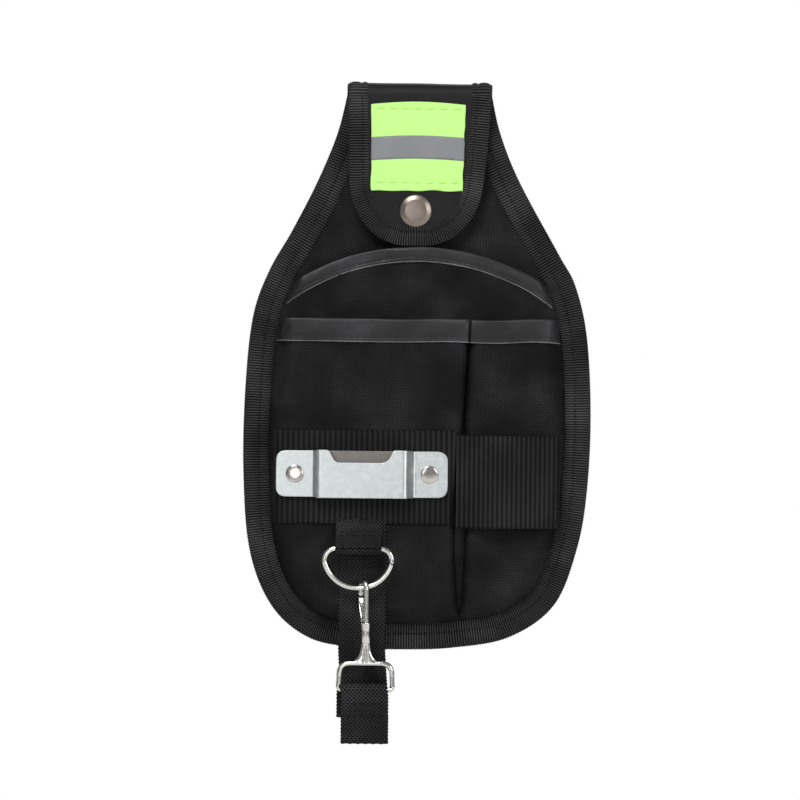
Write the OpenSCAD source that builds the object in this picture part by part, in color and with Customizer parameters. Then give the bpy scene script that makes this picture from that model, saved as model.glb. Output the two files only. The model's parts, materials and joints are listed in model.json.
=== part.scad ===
// Electrician tool pouch. It folds over a belt at the top and closes with a snap flap.
// It has a rear pocket, two front pockets, a webbing tool loop, a steel tape clip, and a
// strap loop that a snap hook joins to a D-ring.
// Millimetres. +Z is up, the front faces -Y, and the origin is the axis of the top fold.

/* [Panels] */
// Thickness of the woven face of the back panel
face_t = 0.8; // [0.5:0.1:1.2]
// Thickness of the foam core
foam_t = 2; // [1.5:0.1:3]
// Thickness of the lining
lining_t = 0.7; // [0.4:0.1:1]
// Thickness of a pocket's cloth
cloth_t = 1; // [0.8:0.1:1.2]
// Thickness of the binding tape
tape_t = 1; // [0.6:0.1:1.2]
// Width of the binding round the body
binding_w = 14; // [12:0.5:15]
// Free depth inside the rear pocket
rear_depth = 5.2; // [5:0.1:7]
// Free depth inside the front pockets
front_depth = 5.6; // [5.4:0.1:7]
// Height of the rear pocket's trim
rear_trim_h = 7.7; // [6:0.1:10]
// Height of the front pockets' trims
front_trim_h = 12; // [8:0.5:16]

/* [Belt fold and flap] */
// Inner radius of the fold that lies on the belt
fold_r = 4.5; // [4.5:0.1:6]
// Thickness of the fold
fold_t = 3; // [2:0.1:4]
// Thickness of the flap's cloth and stiffener
flap_t = 2; // [1.5:0.1:2.5]
// Width of the binding round the flap
flap_binding_w = 10.5; // [8:0.5:12]
// Lean of the closed flap towards the back panel
flap_lean = 2.2; // [1.8:0.1:2.4]
// Diameter of the snap fastener's cap
cap_d = 17.6; // [12:0.2:18]

/* [Bands and clip] */
// Height of the wide webbing bands
band_h = 50; // [40:1:50]
// Thickness of the wide webbing
band_t = 1.6; // [1.2:0.1:2]
// Free depth behind the tool loop
loop_depth = 5.2; // [5:0.1:8]
// Length of the tape clip
clip_len = 91; // [88:1:96]
// Height of the tape clip
clip_h = 24.5; // [20:0.5:28]
// Thickness of the clip's sheet steel
sheet_t = 1.2; // [0.8:0.1:1.5]
// Free depth of the clip's slot
slot_depth = 5; // [4.8:0.1:7]

/* [D-ring, hook and strap] */
// Wire diameter of the D-ring
ring_wire = 3; // [2.5:0.1:3.2]
// Outer width of the D-ring
ring_w = 38.6; // [34:0.2:42]
// Drop from the D-ring's bar to its lowest wire
ring_drop = 20.8; // [19:0.2:24]
// Bar diameter of the hook's nose and shank
hook_bar = 3.2; // [2.8:0.1:3.4]
// Bar diameter of the hook's eye
eye_bar = 2.6; // [2.2:0.1:2.8]
// Width of the strap
strap_w = 25; // [24:0.1:25.2]
// Thickness of the strap's webbing
strap_t = 1.5; // [1.2:0.1:1.5]

/* [Hidden] */
$fn = 64;

// Depths, from the back panel's front face forwards
panel_y = fold_r;
lining_y = panel_y + face_t + foam_t;
back_y = lining_y + lining_t;
rear_cloth_y = panel_y - rear_depth;
rear_front_y = rear_cloth_y - cloth_t;
front_cloth_y = rear_front_y - front_depth;
front_y = front_cloth_y - cloth_t;
band_y = front_y - band_t;
plate_t = 1;
plate_y = band_y - plate_t;
flange_y = plate_y - sheet_t;
slot_y = plate_y - slot_depth;
trim_proud = 0.6;

// Edges of the body and the flap, from the top left, round the bottom, to the top right
BODY_EDGE = [
    [-39, 0], [-44.2, -21], [-54.6, -46.6], [-67.6, -72.4], [-79.6, -93.8], [-88, -118],
    [-91.7, -155], [-92.4, -200], [-88.6, -243], [-76.6, -272.5], [-56.8, -289.3],
    [-32, -294.4], [-7, -295.2], [20, -294], [50, -288.2], [73.9, -271], [85.9, -241],
    [91, -210], [92.6, -170], [90.2, -128], [83.8, -100.6], [74.6, -83.6], [53.4, -45.4],
    [43, -20], [38.3, 0]
];
FLAP_EDGE = [
    [-38.2, 0], [-37.6, -25], [-36.8, -50], [-32.5, -63.5], [-24, -74], [-12.5, -79.3],
    [-2, -79.9], [8.5, -79.3], [20, -74], [28.8, -63.5], [33.4, -50], [36, -25], [37.8, 0]
];
// Seam between the two front pockets, from the top down
DIVIDER = [[27.7, -100], [27.7, -119], [24.9, -179], [24.3, -300]];
seam_gap = 0.2;

// Rear pocket mouth: a shallow arch
arch_top = -80.5;
arch_r = 126;
// Front pocket mouths
mouth_z = -119;

// Snap fastener, on the flap
snap_x = -1.9;
snap_z = -61.4;
post_r = 1.9;
hole_r = 2;

// Bands and clip
band_top = -178.3;
band_left_x = -76;
band_meet_x = 21;
band_right_x = 76;
clip_x = -74.5;
clip_top = -189.4;
clip_mid_z = clip_top - clip_h / 2;
rivet_xs = [clip_x + 10, clip_x + clip_len - 9.7];
clip_rise_xs = [-54, -52.8];
clip_fall_xs = [-5.8, -1.6];
rivet_r = 2;
rivet_head_r = 4.8;

// D-ring, hook and strap
ring_x = -30.4;
ring_z = -241;
ring_r = ring_wire / 2;
hook_gap = 0.4;
nose_in_r = 2.9;
nose_r = nose_in_r + hook_bar / 2;
nose_turn = 19;
strap_back_y = front_y - 0.2;
strap_y = strap_back_y - strap_t / 2;
ring_y = strap_back_y - strap_t - 0.5 - nose_r * cos(nose_turn) - hook_bar / 2;
shoulder_r = 6;
shoulder_x = ring_w / 2 - ring_r - shoulder_r;
shoulder_drop = ring_drop - shoulder_r;
// Radius of the lower bend, tangent to both shoulders
low_r = (shoulder_x * shoulder_x + shoulder_drop * shoulder_drop - shoulder_r * shoulder_r)
    / (2 * (shoulder_drop - shoulder_r));
meet_a = atan2(low_r - shoulder_drop, shoulder_x);
hook_x = -25.9;
hook_y = ring_y - nose_r * cos(nose_turn);
nose_x = hook_x - nose_r * sin(nose_turn);
// Height of the wire's centre where the nose hangs on it
wire_z = ring_z + low_r - ring_drop - sqrt(low_r * low_r - (nose_x - ring_x) * (nose_x - ring_x));
nose_z = wire_z + ring_r + hook_gap - nose_in_r;
eye_top_z = -301.3;
eye_low_z = -315.3;
eye_w = 31.6;
strap_upper_x = -28.2;
strap_x = -26.2;
strap_end_z = -344.1;
strap_joint_z = -295.9;

// ---- Curves ----

function spline_point(a, b, c, d, t) = 0.5 * (2 * b + (c - a) * t
    + (2 * a - 5 * b + 4 * c - d) * t * t + (3 * b - a - 3 * c + d) * t * t * t);

// A smooth curve through all the points, with the end points doubled
function smooth(points, steps = 4) = let (last = len(points) - 1) concat([
    for (i = [0 : last - 1]) for (s = [0 : steps - 1]) spline_point(
        points[max(i - 1, 0)], points[i], points[i + 1], points[min(i + 2, last)], s / steps)
], [points[last]]);

// The way into the shape at one point of an edge that runs anticlockwise
function inward(edge, i) = let (last = len(edge) - 1, run = edge[min(i + 1, last)] - edge[max(i - 1, 0)])
    i == 0 ? [1, 0] : i == last ? [-1, 0] : [-run[1], run[0]] / norm(run);

// The same edge moved inwards
function inset(edge, d) = [for (i = [0 : len(edge) - 1]) edge[i] + d * inward(edge, i)];

function arc(centre, r, from, to, steps = 12) = [
    for (s = [0 : steps]) let (a = from + (to - from) * s / steps) centre + r * [cos(a), sin(a)]
];

function box_round(x0, x1, z0, z1, r) = concat(
    arc([x1 - r, z1 - r], r, 0, 90, 8), arc([x0 + r, z1 - r], r, 90, 180, 8),
    arc([x0 + r, z0 + r], r, 180, 270, 8), arc([x1 - r, z0 + r], r, 270, 360, 8));

function left_of(a, b) = [a[1] - b[1], b[0] - a[0]] / norm(b - a);

// Offset of a path at one point, mitred between its two sides
function mitre(path, i) = let (
    last = len(path) - 1,
    n0 = left_of(path[max(i - 1, 0)], path[max(i, 1)]),
    n1 = left_of(path[min(i, last - 1)], path[min(i + 1, last)])
) (n0 + n1) / (1 + n0 * n1);

// The outline of a strip of one thickness that follows a path
function strip(path, t) = concat(
    [for (i = [0 : len(path) - 1]) path[i] + t / 2 * mitre(path, i)],
    [for (i = [len(path) - 1 : -1 : 0]) path[i] - t / 2 * mitre(path, i)]);

body_edge = smooth(BODY_EDGE);
flap_edge = smooth(FLAP_EDGE);

// ---- Placing ----

// An outline in X and Z, made solid from y0 back to y1
module slab(outline, y0, y1) {
    translate([0, y1, 0]) rotate([90, 0, 0]) linear_extrude(y1 - y0) polygon(outline);
}

// An outline in Y and Z, made solid from x0 to x1
module across(outline, x0, x1) {
    translate([x0, 0, 0]) rotate([90, 0, 90]) linear_extrude(x1 - x0) polygon(outline);
}

// An outline in X and Y, made solid from z0 up to z1
module upright(outline, z0, z1) {
    translate([0, 0, z0]) linear_extrude(z1 - z0) polygon(outline);
}

// A round bar along Y, from y0 back to y1
module peg(x, z, r, y0, y1) {
    translate([x, y1, z]) rotate([90, 0, 0]) cylinder(h = y1 - y0, r = r);
}

// A turned shape whose axis runs forwards from y
module turned(x, y, z, profile) {
    translate([x, y, z]) rotate([90, 0, 0]) rotate_extrude() polygon(profile);
}

// A round wire along a path of [x, z] points in the XZ plane
module wire(path, r, closed = false, sides = 16) {
    count = len(path);
    function at(i) = closed ? path[(i + count) % count] : path[max(0, min(count - 1, i))];
    function out(i) = left_of(at(i - 1), at(i + 1));
    points = [for (i = [0 : count - 1]) for (k = [0 : sides - 1]) let (a = 360 * k / sides)
        [path[i][0] + r * cos(a) * out(i)[0], r * sin(a), path[i][1] + r * cos(a) * out(i)[1]]];
    sides_of = [for (i = [0 : count - (closed ? 1 : 2)]) for (k = [0 : sides - 1])
        let (j = (i + 1) % count, m = (k + 1) % sides)
        [i * sides + k, i * sides + m, j * sides + m, j * sides + k]];
    ends = closed ? [] : [[for (k = [sides - 1 : -1 : 0]) k],
        [for (k = [0 : sides - 1]) (count - 1) * sides + k]];
    polyhedron(points = points, faces = concat(sides_of, ends), convexity = 6);
}

// ---- Back panel ----

module back_sheet(y0, y1) {
    difference() {
        slab(inset(body_edge, tape_t), y0, y1);
        peg(snap_x, snap_z, hole_r, y0 - 1, y1 + 1);
    }
}

module front_face() {
    color("#26262a") back_sheet(panel_y, panel_y + face_t);
}

module foam_core() {
    color("#4a4a4a") back_sheet(panel_y + face_t, lining_y);
}

module back_lining() {
    color("#202022") back_sheet(lining_y, back_y);
}

// A tape folded round an edge: a ring with a channel for the panel
module edge_tape(edge, width, y0, y1) {
    difference() {
        slab(edge, y0 - tape_t, y1 + tape_t);
        slab(inset(edge, tape_t), y0, y1);
        slab(inset_open(edge, width), y0 - tape_t - 1, y1 + tape_t + 1);
    }
}

// The inset edge, carried up past the top so that a cut with it leaves the top open
function inset_open(edge, d) = let (line = inset(edge, d), last = len(line) - 1)
    concat([line[0] + [0, 5]], line, [line[last] + [0, 5]]);

module edge_binding() {
    color("#2e2d2d") edge_tape(body_edge, binding_w, panel_y, back_y);
}

module top_fold() {
    width = BODY_EDGE[len(BODY_EDGE) - 1][0] - BODY_EDGE[0][0];
    color("#2b2b2d") translate([BODY_EDGE[0][0], 0, 0]) rotate([90, 0, 90]) difference() {
        cylinder(h = width, r = fold_r + fold_t);
        translate([0, 0, -1]) cylinder(h = width + 2, r = fold_r);
        translate([-20, -40, -1]) cube([40, 40, width + 2]);
    }
}

// ---- Pockets ----

pocket_edge_in = binding_w + 0.3;

module rear_region(d, y0, y1) {
    slab(inset(body_edge, pocket_edge_in + d), y0, y1);
}

function arch_line(drop) = arc([0, arch_top - arch_r], arch_r - drop, 126, 54, 36);

// Everything above the rear pocket's mouth, lowered by drop
module above_arch(drop, y0, y1) {
    slab(concat(arch_line(drop), [[100, 20], [-100, 20]]), y0, y1);
}

module rear_pocket_panel() {
    color("#262629") difference() {
        rear_region(0, rear_front_y, panel_y);
        rear_region(1.2, rear_cloth_y, panel_y + 1);
        above_arch(1, rear_front_y - 1, panel_y + 1);
    }
}

module rear_pocket_trim() {
    color("#333335") difference() {
        rear_region(1.5, rear_front_y - trim_proud, rear_cloth_y + trim_proud);
        above_arch(0, rear_front_y - 2, rear_cloth_y + 2);
        difference() {
            rear_region(1, rear_front_y, rear_cloth_y);
            above_arch(1, rear_front_y - 1, rear_cloth_y + 1);
        }
        difference() {
            rear_region(-1, rear_front_y - 2, rear_cloth_y + 2);
            above_arch(rear_trim_h, rear_front_y - 3, rear_cloth_y + 3);
        }
    }
}

// One side of the divider, moved back from it by gap
function left_side(gap) = concat([[-100, -300], [-100, -100]], [for (p = DIVIDER) p - [gap, 0]]);
function right_side(gap) = concat([for (p = DIVIDER) p + [gap, 0]], [[100, -300], [100, -100]]);

module front_region(d, side, y0, y1) {
    intersection() {
        slab(inset(body_edge, pocket_edge_in + 0.6 + d), y0, y1);
        slab(side, y0 - 1, y1 + 1);
    }
}

module rivet_holes(xs, y0, y1) {
    for (x = xs) peg(x, clip_mid_z, rivet_r + 0.1, y0, y1);
}

// A pocket front with its side walls, open at the top and at the back
module front_pocket(outer, inner) {
    difference() {
        front_region(0, outer, front_y, rear_front_y);
        front_region(1.2, inner, front_cloth_y, rear_front_y + 1);
        translate([-100, front_y - 1, mouth_z - 1]) cube([200, 20, 150]);
        rivet_holes(rivet_xs, front_y - 1, front_cloth_y + 0.5);
    }
}

module front_pocket_left() {
    color("#262629") front_pocket(left_side(seam_gap), left_side(seam_gap + 1.2));
}

module front_pocket_right() {
    color("#262629") front_pocket(right_side(seam_gap), right_side(seam_gap + 1.2));
}

// The trim folded over a pocket's mouth
module front_trim(side) {
    color("#3b3b3e") difference() {
        front_region(1.5, side, front_y - trim_proud, front_cloth_y + trim_proud);
        translate([-100, front_y, -400]) cube([200, cloth_t, 399 + mouth_z]);
        translate([-100, front_y - 2, mouth_z]) cube([200, 20, 150]);
        translate([-100, front_y - 2, -400]) cube([200, 20, 400 + mouth_z - front_trim_h]);
    }
}

module front_trim_left() {
    front_trim(left_side(seam_gap + 1.5));
}

module front_trim_right() {
    front_trim(right_side(seam_gap + 1.5));
}

// ---- Webbing bands ----

module band_left() {
    color("#1f1f20") difference() {
        translate([band_left_x, band_y, band_top - band_h])
            cube([band_meet_x - band_left_x - seam_gap, band_t, band_h]);
        rivet_holes(rivet_xs, band_y - 1, front_y + 1);
    }
}

// Height of the tool loop above the pocket, 0 to 1 along its width
function loop_rise(u) = let (k = min(1, min(u, 1 - u) / 0.3)) k * k * (3 - 2 * k);

module band_right() {
    width = band_right_x - band_meet_x;
    path = [for (s = [0 : 24]) let (u = s / 24)
        [band_meet_x + width * u, front_y - band_t / 2 - loop_depth * loop_rise(u)]];
    color("#1f1f20") upright(strip(path, band_t), band_top - band_h - 1.5, band_top - 2.3);
}

// ---- Tape clip ----

clip_outline = box_round(clip_x, clip_x + clip_len, clip_top - clip_h, clip_top, 4.3);

module clip_back_plate() {
    color("#8d9092") difference() {
        slab(clip_outline, plate_y, band_y);
        rivet_holes(rivet_xs, plate_y - 1, band_y + 1);
    }
}

module clip_bracket() {
    low = plate_y - sheet_t / 2;
    high = slot_y - sheet_t / 2;
    path = [[clip_x - 1, low], [clip_rise_xs[0], low], [clip_rise_xs[1], high],
        [clip_fall_xs[0], high], [clip_fall_xs[1], low], [clip_x + clip_len + 1, low]];
    notch = box_round(-45.8, -12.2, clip_top - 6, clip_top + 20, 3.5);
    color("#cfd5d4") difference() {
        intersection() {
            upright(strip(path, sheet_t), clip_top - clip_h - 1, clip_top + 1);
            slab(clip_outline, slot_y - 10, band_y + 1);
        }
        slab(notch, slot_y - 10, slot_y + 1);
        rivet_holes(rivet_xs, flange_y - 1, plate_y + 1);
    }
}

module clip_rivets() {
    color("#c4c7c6") for (x = rivet_xs) turned(x, front_cloth_y, clip_mid_z, concat(
        [[0, 0], [rivet_r, 0], [rivet_r, front_cloth_y - flange_y],
            [rivet_head_r, front_cloth_y - flange_y], [rivet_head_r, front_cloth_y - flange_y + 0.7]],
        [for (a = [30 : 15 : 90]) [rivet_head_r * cos(a), front_cloth_y - flange_y + 0.2 + 1.5 * sin(a)]]));
}

module rivet_washers() {
    color("#a9acab") for (x = rivet_xs) peg(x, clip_mid_z, rivet_head_r, front_cloth_y, front_cloth_y + 0.6);
}

// ---- Snap fastener on the back panel ----

stud_top_y = -1.3;

module snap_stud() {
    color("#8f8176") turned(snap_x, panel_y, snap_z, [
        [0, 0], [5.5, 0], [5.5, 0.8], [2.7, 0.8], [2.7, panel_y - stud_top_y - 1.2],
        [3, panel_y - stud_top_y - 0.8], [2.6, panel_y - stud_top_y], [0, panel_y - stud_top_y]]);
}

module snap_post() {
    color("#8f8176") {
        peg(snap_x, snap_z, 5.5, back_y, back_y + 0.7);
        peg(snap_x, snap_z, post_r, panel_y, back_y);
    }
}

// ---- Flap ----

flap_y1 = -fold_r;
flap_y0 = flap_y1 - flap_t;

module on_flap() {
    rotate([flap_lean, 0, 0]) children();
}

module flap_panel() {
    color("#242427") on_flap() difference() {
        slab(inset(flap_edge, 0.7), flap_y0, flap_y1);
        peg(snap_x, snap_z, hole_r, flap_y0 - 1, flap_y1 + 1);
    }
}

module flap_binding() {
    color("#2e2d2d") on_flap() difference() {
        slab(flap_edge, flap_y0 - 0.7, flap_y1 + 0.7);
        slab(inset(flap_edge, 0.7), flap_y0, flap_y1);
        slab(inset_open(flap_edge, flap_binding_w), flap_y0 - 2, flap_y1 + 2);
        peg(snap_x, snap_z, cap_d / 2 + 0.1, flap_y0 - 2, flap_y0);
    }
}

PATCH = concat([[24, -5.1], [22.8, -50.9], [-25.7, -50.9], [-26.1, -5.1]],
    [for (s = [1 : 7]) [-26.1 + 50.1 * s / 8, -5.1 + 1.5 * sin(180 * s / 8)]]);

module reflective_patch() {
    color("#c9fe93") on_flap() slab(PATCH, flap_y0 - 0.5, flap_y0);
}

module silver_stripe() {
    color("#8e8f93") on_flap() slab([[23.5, -22.2], [23.2, -34.4], [-25.8, -34.4], [-25.9, -22.2]],
        flap_y0 - 0.8, flap_y0 - 0.5);
}

module snap_cap() {
    r = cap_d / 2;
    color("#8f8176") on_flap() turned(snap_x, flap_y1, snap_z, concat(
        [[0, 0], [post_r, 0], [post_r, flap_t], [r, flap_t], [r, flap_t + 0.8]],
        [for (a = [15 : 15 : 90]) [r * cos(a), flap_t + 0.8 + 1.4 * sin(a)]]));
}

module snap_socket() {
    depth = 2.3;
    color("#8f8176") on_flap() difference() {
        peg(snap_x, snap_z, 6.2, flap_y1, flap_y1 + depth);
        peg(snap_x, snap_z, 3.5, flap_y1 + 0.4, flap_y1 + depth + 1);
    }
}

// ---- D-ring ----

module dring() {
    path = concat(
        arc([shoulder_x, -shoulder_r], shoulder_r, -meet_a, 90, 10),
        arc([-shoulder_x, -shoulder_r], shoulder_r, 90, 180 + meet_a, 10),
        [for (s = [1 : 23]) let (a = 180 + meet_a + (180 - 2 * meet_a) * s / 24)
            [low_r * cos(a), low_r - ring_drop + low_r * sin(a)]]);
    color("#cfccc6") translate([ring_x, ring_y, ring_z]) wire(path, ring_r, closed = true);
}

// The webbing tab that holds the D-ring's bar
module dring_tab() {
    tab_t = 1.4;
    bend = ring_r + 0.3 + tab_t / 2;
    back = strap_back_y - strap_t - tab_t / 2;
    path = concat([[back, -228.6], [back, -233]], arc([ring_y, ring_z], bend, 20, -200, 14),
        [[back - 1.7, -233], [back - 1.7, -228.6]]);
    color("#2b2a2b") across(strip(path, tab_t), ring_x - 12.2, ring_x + 12.2);
}

// ---- Snap hook ----

// The nose lies in an upright plane that is turned from the front view
module on_nose() {
    translate([nose_x, ring_y, 0]) rotate([0, 0, 90 + nose_turn]) children();
}

tip_z = nose_z - 3.6;
collar_top = -279.7;
collar_low = -290.5;
collar_r = 2.6;
leaf_t = 0.8;
leaf_w = 2.8;
foot_s = collar_r - nose_r + leaf_t / 2 - 0.1;

module hook_body() {
    half = eye_w / 2 - eye_bar / 2;
    corner = 1.8;
    nose = concat([[nose_r, tip_z]], arc([0, nose_z], nose_r, 0, 180, 16), [[-nose_r, eye_top_z]]);
    color("#d2cfc9") {
        on_nose() wire(nose, hook_bar / 2);
        slab([[hook_x - 2.2, collar_low - 2], [hook_x - 7, eye_top_z], [hook_x + 7, eye_top_z],
            [hook_x + 2.2, collar_low - 2]], hook_y - 1.2, hook_y + 1.2);
        translate([hook_x, hook_y, 0])
            wire(box_round(-half, half, eye_low_z, eye_top_z, corner), eye_bar / 2, closed = true);
    }
}

// A strip of the spring leaf, along a path in the plane of the nose
module leaf(path) {
    on_nose() rotate([0, 0, -90]) across(strip(path, leaf_t), -leaf_w / 2, leaf_w / 2);
}

// The collar, with the foot of the spring leaf fixed to its side
module hook_collar() {
    color("#d2cfc9") {
        translate([hook_x, hook_y, collar_low]) difference() {
            cylinder(h = collar_top - collar_low, r = collar_r);
            translate([0, 0, -1]) cylinder(h = collar_top - collar_low + 2, r = hook_bar / 2 + 0.05);
        }
        leaf([[foot_s, collar_low + 1.5], [foot_s, -284.5], [foot_s + 1.25, -280.2]]);
    }
}

// The free end of the spring leaf, which closes the hook's mouth
module gate_leaf() {
    color("#c9c6c0")
        leaf([[-0.1, -279.4], [0.6, -277], [nose_r - 0.8, -270.5], [nose_r, tip_z - 0.9]]);
}

// ---- Strap ----

module strap_upper() {
    color("#2b2a2b") translate([strap_upper_x - strap_w / 2, strap_back_y - strap_t, strap_joint_z + 0.3])
        cube([strap_w, strap_t, band_top - band_h - 0.2 - strap_joint_z - 0.3]);
}

module strap_loop() {
    wrap_r = eye_bar / 2 + 0.35 + strap_t / 2;
    fold_in_r = 3.25;
    fold_y = hook_y + 5.4;
    fold_z = strap_end_z + fold_in_r + strap_t / 2;
    path = concat([[strap_y, strap_joint_z], [strap_y - 0.9, -312], [fold_y + fold_in_r + 0.4, -330]],
        arc([fold_y, fold_z], fold_in_r, 0, -180, 12),
        arc([hook_y, eye_low_z], wrap_r, 180, 0, 12),
        [[hook_y + wrap_r, -330]]);
    color("#2b2a2b") across(strip(path, strap_t), strap_x - strap_w / 2, strap_x + strap_w / 2);
}

back_lining();
foam_core();
front_face();
edge_binding();
top_fold();
rear_pocket_panel();
rear_pocket_trim();
front_pocket_left();
front_trim_left();
front_pocket_right();
front_trim_right();
band_left();
band_right();
clip_back_plate();
clip_bracket();
clip_rivets();
rivet_washers();
snap_stud();
snap_post();
dring_tab();
strap_upper();
flap_panel();
flap_binding();
reflective_patch();
silver_stripe();
snap_cap();
snap_socket();
dring();
hook_body();
hook_collar();
gate_leaf();
strap_loop();
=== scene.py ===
"""Electrician tool pouch: the visible pieces and finishes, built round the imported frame.

Shapes are worked out in millimetres and turned into metres as each mesh is made. X runs to the
right, the front of the pouch faces -Y, Z is up, and the origin is the axis of the top fold.
"""
import json
import logging
import math
from dataclasses import dataclass, field
from enum import Enum
from functools import partial
from typing import Callable, Sequence

import bpy
import numpy as np
from mathutils import Matrix, Vector
from mathutils.geometry import delaunay_2d_cdt

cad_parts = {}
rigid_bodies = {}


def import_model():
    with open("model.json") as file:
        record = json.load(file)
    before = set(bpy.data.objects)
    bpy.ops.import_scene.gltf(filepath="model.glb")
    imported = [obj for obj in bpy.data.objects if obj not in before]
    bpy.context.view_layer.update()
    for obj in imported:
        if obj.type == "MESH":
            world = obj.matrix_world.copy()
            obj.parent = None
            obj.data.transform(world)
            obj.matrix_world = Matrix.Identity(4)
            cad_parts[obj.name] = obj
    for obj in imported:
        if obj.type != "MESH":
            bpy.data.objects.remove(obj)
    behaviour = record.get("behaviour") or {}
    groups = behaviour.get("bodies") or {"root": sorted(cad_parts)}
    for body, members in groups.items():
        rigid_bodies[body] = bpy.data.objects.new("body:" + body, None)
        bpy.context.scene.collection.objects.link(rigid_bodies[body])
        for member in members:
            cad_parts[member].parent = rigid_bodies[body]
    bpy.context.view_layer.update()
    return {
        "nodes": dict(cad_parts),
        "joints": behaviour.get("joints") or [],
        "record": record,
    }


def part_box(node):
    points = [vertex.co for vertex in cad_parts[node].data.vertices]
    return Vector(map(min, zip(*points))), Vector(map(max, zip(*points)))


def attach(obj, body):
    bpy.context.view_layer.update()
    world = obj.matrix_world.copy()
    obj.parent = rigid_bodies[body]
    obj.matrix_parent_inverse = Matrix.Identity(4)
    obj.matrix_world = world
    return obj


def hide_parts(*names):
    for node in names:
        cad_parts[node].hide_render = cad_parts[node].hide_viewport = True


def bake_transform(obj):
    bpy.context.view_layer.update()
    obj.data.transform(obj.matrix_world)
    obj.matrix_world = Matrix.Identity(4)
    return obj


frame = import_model()
LOG = logging.getLogger("pouch")
MM = 0.001
TAU = 2 * math.pi
LAY = "lay"
FORWARDS = (0.0, -1.0, 0.0)
Array = np.ndarray
Piece = bpy.types.Object
Socket = bpy.types.NodeSocket
# A height or a depth, in millimetres, over two coordinates of a surface
Surface = Callable[[Array, Array], Array]


class Body(Enum):
    """The rigid bodies that pieces ride on."""

    ROOT = "root"
    FLAP = "flap"
    DRING = "dring"
    HOOK = "hook"
    GATE = "gate"
    STRAP = "strap"


class Slot(Enum):
    """The record's material slots."""

    OXFORD = "oxford_cloth"
    LINING = "lining_cloth"
    FOAM = "foam"
    BINDING = "binding_tape"
    COATED = "coated_cloth"
    TRIM = "coated_trim"
    WIDE_WEBBING = "wide_webbing"
    STRAP_WEBBING = "strap_webbing"
    FLUORESCENT = "fluorescent_cloth"
    REFLECTIVE = "reflective_tape"
    STEEL = "plated_steel"
    RIVET = "rivet_metal"
    NICKEL = "nickel"


@dataclass(frozen=True)
class Box:
    """The box of one CAD node, in millimetres."""

    low: Array
    high: Array

    @classmethod
    def of(cls, node: str) -> "Box":
        """Read a CAD node's box from the frame."""
        low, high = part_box(node)
        return cls(np.array(low) / MM, np.array(high) / MM)

    @property
    def mid(self) -> Array:
        """The middle of the box."""
        return (self.low + self.high) / 2

    @property
    def size(self) -> Array:
        """The box's sides."""
        return self.high - self.low


# ---- curves


def smoothstep(t: Array) -> Array:
    """Ease from 0 to 1 with level ends."""
    t = np.clip(t, 0, 1)
    return t * t * (3 - 2 * t)


def swell(t: Array) -> Array:
    """Rise steeply from 0 and level off at 1, as stuffed cloth does from a seam."""
    return np.sin(np.clip(t, 0, 1) * math.pi / 2)


def waves(x: Array, y: Array, seed: int, pitch: float) -> Array:
    """Sum a few plane waves into smooth, repeatable unevenness.

    Args:
        x: first coordinates, in millimetres.
        y: second coordinates, in millimetres.
        seed: picks the directions and phases.
        pitch: mean distance between crests, in millimetres.

    Returns:
        Heights of about -1 to 1.
    """
    rng = np.random.default_rng(seed)
    total = np.zeros_like(np.asarray(x, float) + np.asarray(y, float))
    for _ in range(7):
        turn, phase = rng.uniform(0, TAU, 2)
        length = pitch * rng.uniform(0.6, 1.7)
        total = total + np.sin(TAU * (x * math.cos(turn) + y * math.sin(turn)) / length + phase)
    return total / 3.2


def catmull(keys: Sequence[Sequence[float]], steps: int = 12) -> Array:
    """Run a smooth curve through key points.

    Args:
        keys: points, in millimetres.
        steps: spans between two key points.

    Returns:
        The curve's points.
    """
    pts = np.array(keys, float)
    ends = np.vstack([pts[:1], pts, pts[-1:]])
    t = np.arange(steps)[:, None] / steps
    out = []
    for i in range(len(pts) - 1):
        a, b, c, d = ends[i : i + 4]
        out.append(0.5 * (2 * b + (c - a) * t + (2 * a - 5 * b + 4 * c - d) * t**2
                          + (3 * b - a - 3 * c + d) * t**3))
    return np.vstack(out + [pts[-1:]])


def run_lengths(path: Array) -> Array:
    """Return the distance along a path at each of its points."""
    return np.concatenate([[0], np.cumsum(np.linalg.norm(np.diff(path, axis=0), axis=1))])


def respace(path: Array, count: int) -> Array:
    """Place a number of points evenly along a path.

    Args:
        path: points of the path.
        count: how many points to return.

    Returns:
        The evenly spaced points, with both ends kept.
    """
    along = run_lengths(path)
    want = np.linspace(0, along[-1], count)
    return np.stack([np.interp(want, along, path[:, k]) for k in range(path.shape[1])], axis=1)


def arc(centre: Sequence[float], radius: float, start: float, stop: float, count: int = 16) -> Array:
    """Return points on a circular arc in a plane, with angles in degrees."""
    a = np.radians(np.linspace(start, stop, count))
    return np.array(centre, float) + radius * np.stack([np.cos(a), np.sin(a)], axis=1)


def tangents(path: Array) -> Array:
    """Return unit directions along an open path."""
    run = np.gradient(path, axis=0)
    return run / np.linalg.norm(run, axis=1)[:, None]


def each(direction: Sequence[float], count: int) -> Array:
    """Repeat one direction for a number of points."""
    return np.tile(np.array(direction, float), (count, 1))


def inset(edge: Array, distance: float) -> Array:
    """Move an anticlockwise edge inwards, keeping its two top ends level.

    Args:
        edge: the edge's points.
        distance: how far to move it.

    Returns:
        The moved points.
    """
    t = tangents(edge)
    inward = np.stack([-t[:, 1], t[:, 0]], axis=1)
    inward[0], inward[-1] = (1, 0), (-1, 0)
    return edge + distance * inward


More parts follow.
